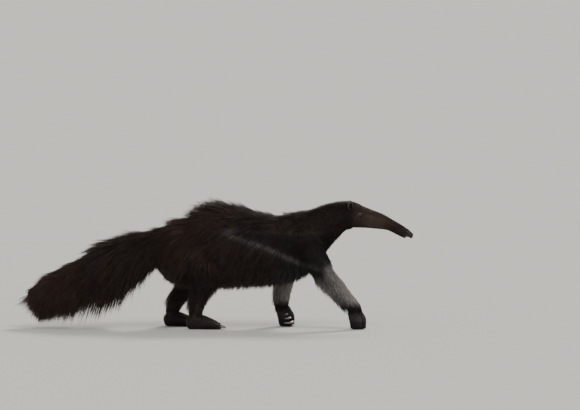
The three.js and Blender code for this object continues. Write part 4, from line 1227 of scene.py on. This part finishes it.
# Claws of the hand, by digit: where each leaves the fist, the radius and sweep of its bend, its thickness.
HAND_CLAWS = [
    {"digit": 1, "ahead": 22, "inwards": 30, "height": 62, "bend": 14, "sweep": 2, "thick": 5},
    {"digit": 2, "ahead": 34, "inwards": 26, "height": 45, "bend": 23, "sweep": 2.4, "thick": 8},
    {"digit": 3, "ahead": 43, "inwards": 20, "height": 25, "bend": 29, "sweep": 2.6, "thick": 10.5},
    {"digit": 4, "ahead": 52, "inwards": 8, "height": 9, "bend": 15, "sweep": 2.1, "thick": 6},
]
HAND_CLAW_WAYS = {"leave": (0.6, 0.8, -0.1), "turn_to": (-0.8, 0.6, -0.05)}
HIND_CLAW = {"bend": 30, "sweep": 0.95, "thick": 4.6, "slope": 0.12, "inside": 4, "above": 5}
# Share of a claw's length that is sunk in the flesh, its grid, how it thins to its tip and what its tip is
# thick, how flat it is, its keel, and its least height over the floor.
CLAW = {"sunk": 0.12, "rings": 21, "sides": 16, "taper": 0.42, "tip": 0.25, "flat": 0.72, "keel": 0.12,
        "floor": 0.6}


def add_claw(place, root, leave, turn_to, size):
    """A curved horn from its root, thinning to a point, flatter at its sides and keeled above."""
    flank = unit(np.cross(leave, turn_to))
    angles = even_angles(CLAW["sides"])
    keel = 1 + CLAW["keel"] * np.maximum(-np.sin(angles), 0) ** 3
    rings = []
    for share in np.arange(CLAW["rings"]) / (CLAW["rings"] - 1):
        turn = size["sweep"] * (share * (1 + CLAW["sunk"]) - CLAW["sunk"])
        towards = turn_to * math.cos(turn) - leave * math.sin(turn)
        middle = root + leave * size["bend"] * math.sin(turn) + turn_to * size["bend"] * (1 - math.cos(turn))
        half = size["thick"] * (1 - share) ** CLAW["taper"] + CLAW["tip"]
        aside = np.outer(np.cos(angles) * half * CLAW["flat"], flank)
        rings.append(middle + aside + np.outer(np.sin(angles) * half * keel, towards))
    points, faces = ring_mesh(np.array(rings[::-1] if np.dot(np.cross(flank, turn_to), leave) > 0 else rings))
    points[:, 2] = np.maximum(points[:, 2], CLAW["floor"])
    claw = mesh_object("horn_" + place, points, faces)
    along = np.repeat(np.linspace(0, 1, CLAW["rings"]), CLAW["sides"])
    around = np.tile(np.abs(angles / math.pi - 1), CLAW["rings"])
    set_values(claw, along=np.append(along, [0, 1]), around=np.append(around, [0, 0]))
    dress(claw, "horn", "claw", "claw_" + place)


def add_claws():
    """Four claws folded in under each hand, and five short ones on each hind foot."""
    for side, hand in SIDES.items():
        inwards = -hand
        x, y = joint_of(f"foreleg_{side}")
        leave = unit(to_side(HAND_CLAW_WAYS["leave"], inwards))
        turn_to = square_to(to_side(HAND_CLAW_WAYS["turn_to"], inwards), leave)
        for claw in HAND_CLAWS:
            root = np.array([x + claw["ahead"], y + inwards * claw["inwards"], claw["height"]])
            add_claw(f"hand_{side}_{claw['digit']}", root, leave, turn_to, claw)
        leave = unit(np.array([1, 0, HIND_CLAW["slope"]]))
        turn_to = unit(np.array([HIND_CLAW["slope"], 0, -1]))
        for k, toe in enumerate(toe_middles(joint_of(f"hindleg_{side}"))):
            root = toe + np.array([TOES["reach"] - HIND_CLAW["inside"], 0, HIND_CLAW["above"]])
            add_claw(f"foot_{side}_{k + 1}", root, leave, turn_to, HIND_CLAW)


# Places of the coat's pieces along the body and the tail, in rows, and angles round a form.
TRUNK = {"rump": (-0.9, 3.2), "saddle": (3.2, 6.4), "shoulder": (6.4, 10.2)}
PLUME = {"tip": (-0.8, 6.0), "root": (6.0, 12.6)}
NECK = (9.5, 13.4)
HEAD = (12.2, 19.45)
FULL_TURN = (0, 2 * math.pi)
HALF_TURNS = {-1: (math.pi / 2, 1.5 * math.pi), 1: (-math.pi / 2, math.pi / 2)}


def add_trunk_coat():
    """Coat of the trunk, neck, head and ears. The trunk's hair lies over the legs of its side."""
    for part, t_range in TRUNK.items():
        for side, hand in SIDES.items():
            under = [(form, 0.5) for name, form in legs.items() if name.endswith(side)]
            add_coat(f"coat_{part}_{side}", part, body, t_range, HALF_TURNS[hand], body_rules, slot="coat",
                     tone_at=marking, seed=11 + 2 * int(t_range[1]) + hand, density=trunk_density,
                     obstacles=under, most_clear=80)
    for side, hand in SIDES.items():
        add_coat(f"coat_neck_{side}", "neck", body, NECK, HALF_TURNS[hand], body_rules, slot="coat",
                 tone_at=marking, seed=31 + hand, density=lambda t, a: 1 - 0.85 * ease(12.3, 13.4, t))
        add_coat(f"coat_head_{side}", "head", body, HEAD, HALF_TURNS[hand], body_rules, slot="face",
                 tone_at=marking, seed=41 + hand, density=head_density, sunk=0.6, relief=head_relief)
        add_coat(f"coat_ear_{side}", "ear", ears[hand], (0.1, 1.8), FULL_TURN, ear_rules, slot="face",
                 tone_at=lambda points: ear_marking(points, ears[hand]), seed=51 + hand,
                 density=ear_density, sunk=0.5)


def trunk_density(t, a):
    """More roots under the root of the tail, where the skin's hair is long and seen from behind."""
    return 1 + 1.4 * ease(1.2, -0.3, t) * ease(0.3, -0.5, np.sin(a))


def head_density(t, a):
    """Roots on the head: none on the eyes and the line of the mouth, and fewer towards the nose pad."""
    points = body.surface(t, a)
    x, y, _ = points.T
    keep = ease(19.45, 18.9, t) * ease(12.1, 13.0, t)
    for hand in SIDES.values():
        opening = eye_measures(points, hand)[2]
        keep *= np.where(y * hand > 0, ease(2.4, 4.5, opening), 1)
    up, _, line, length = mouth_measures(points)
    keep *= 1 - line_share(up - line, 1.8) * length
    keep *= 1 - ease(MOUTH["jaw_end"] - 9, MOUTH["jaw_end"] - 3, x) * ease(line, line - 3, up)
    return keep * (0.6 + 0.8 * ease(640, 760, x))


def ear_density(t, a):
    """Fewer roots inside the ear, and none where it joins the head."""
    return (1 - 0.35 * ease(1.1, 1.4, t)) * ease(-0.8, -0.5, np.sin(a))


def add_tail_coat():
    """Coat of the tail, in four pieces."""
    for side, hand in SIDES.items():
        for part, t_range in PLUME.items():
            add_coat(f"coat_plume_{part}_{side}", "plume", tail, t_range, HALF_TURNS[hand], tail_rules,
                     slot="plume", tone_at=tail_marking, seed=61 + 2 * int(t_range[1]) + hand, strength=0.5,
                     stray=0.05, most_clear=30, widest=95)


def add_leg_coat():
    """Coat of the legs, hands and feet. Roots are left out where a paw meets the floor."""
    for name, form in (legs | ends).items():
        limb, side = name.split("_")
        is_fore = limb in ("foreleg", "hand")
        finish = {"slot": "coat", "tone_at": hindleg_marking}
        if is_fore:
            finish = {"slot": "pale_coat", "tone_at": lambda points: foreleg_marking(points, SIDES[side])}
        if name in legs:
            add_coat(f"coat_{name}", "leg", form, (0.9, form.last - 0.6), FULL_TURN, leg_rules(form, is_fore),
                     seed=500 + int(form.rows[0, 0]), **finish)
        else:
            add_coat(f"coat_{name}", "paw", form, (-0.6, form.last + 0.3), FULL_TURN, paw_rules,
                     seed=900 + int(form.rows[0, 0]), **finish,
                     density=lambda t, a: ease(4, 13, form.surface(t, a)[:, 2]))


# Camera, floor and light

PHOTO = {"width": 580, "height": 410, "mm_per_pixel": 4.8, "origin_x": 221, "ground_y": 328}
CAMERA = {"distance": 30.0, "elevation": 3.3, "sensor": 36.0, "sees_to": 500}
# Half the floor's width in metres.
FLOOR_REACH = 160.0


def add_camera():
    """A long lens from the right side, a little above the animal, with the photo's framing."""
    scale = PHOTO["mm_per_pixel"] * MM
    half_width = PHOTO["width"] / 2 * scale
    centre_x = (PHOTO["width"] / 2 - PHOTO["origin_x"]) * scale + ORIGIN[0]
    centre_z = (PHOTO["ground_y"] - PHOTO["height"] / 2) * scale
    data = bpy.data.cameras.new("camera")
    lens = CAMERA["sensor"] / 2 * CAMERA["distance"] / half_width
    set_all(data, sensor_width=CAMERA["sensor"], lens=lens, clip_end=CAMERA["sees_to"])
    tilt = math.radians(CAMERA["elevation"])
    back = Vector((0, -math.cos(tilt), math.sin(tilt)))
    camera = place_object("camera", data)
    camera.location = Vector((centre_x, ORIGIN[1], centre_z)) + back * CAMERA["distance"]
    camera.rotation_euler = (-back).to_track_quat("-Z", "Y").to_euler()
    bpy.context.scene.camera = camera


def add_floor():
    mesh = bpy.data.meshes.new("floor")
    corners = [(-1, -1, 0), (1, -1, 0), (1, 1, 0), (-1, 1, 0)]
    mesh.from_pydata(np.multiply(corners, FLOOR_REACH).tolist(), [], [(0, 1, 2, 3)])
    mesh.materials.append(floor_material())
    place_object("floor", mesh)


def add_sun(name, towards, strength, softness, colour):
    """A soft, even light from far off; towards is the way to it and softness its width in degrees."""
    data = bpy.data.lights.new(name, "SUN")
    set_all(data, energy=strength, angle=math.radians(softness), color=colour)
    place_object(name, data).rotation_euler = Vector(towards).to_track_quat("Z", "Y").to_euler()


def add_lights():
    add_sun("key", towards=(0.5, -0.75, 1.1), strength=1.3, softness=28, colour=(1.0, 0.96, 0.90))
    add_sun("rim", towards=(0.5, 1.0, 0.9), strength=2.3, softness=16, colour=(1.0, 0.94, 0.86))
    world = bpy.data.worlds.new("studio")
    world.use_nodes = True
    background = world.node_tree.nodes["Background"].inputs
    background["Color"].default_value = (0.93, 0.925, 0.915, 1)
    background["Strength"].default_value = 0.70
    bpy.context.scene.world = world


add_camera()
add_floor()
add_lights()
add_skin()
add_eyes()
add_claws()
add_trunk_coat()
add_tail_coat()
add_leg_coat()
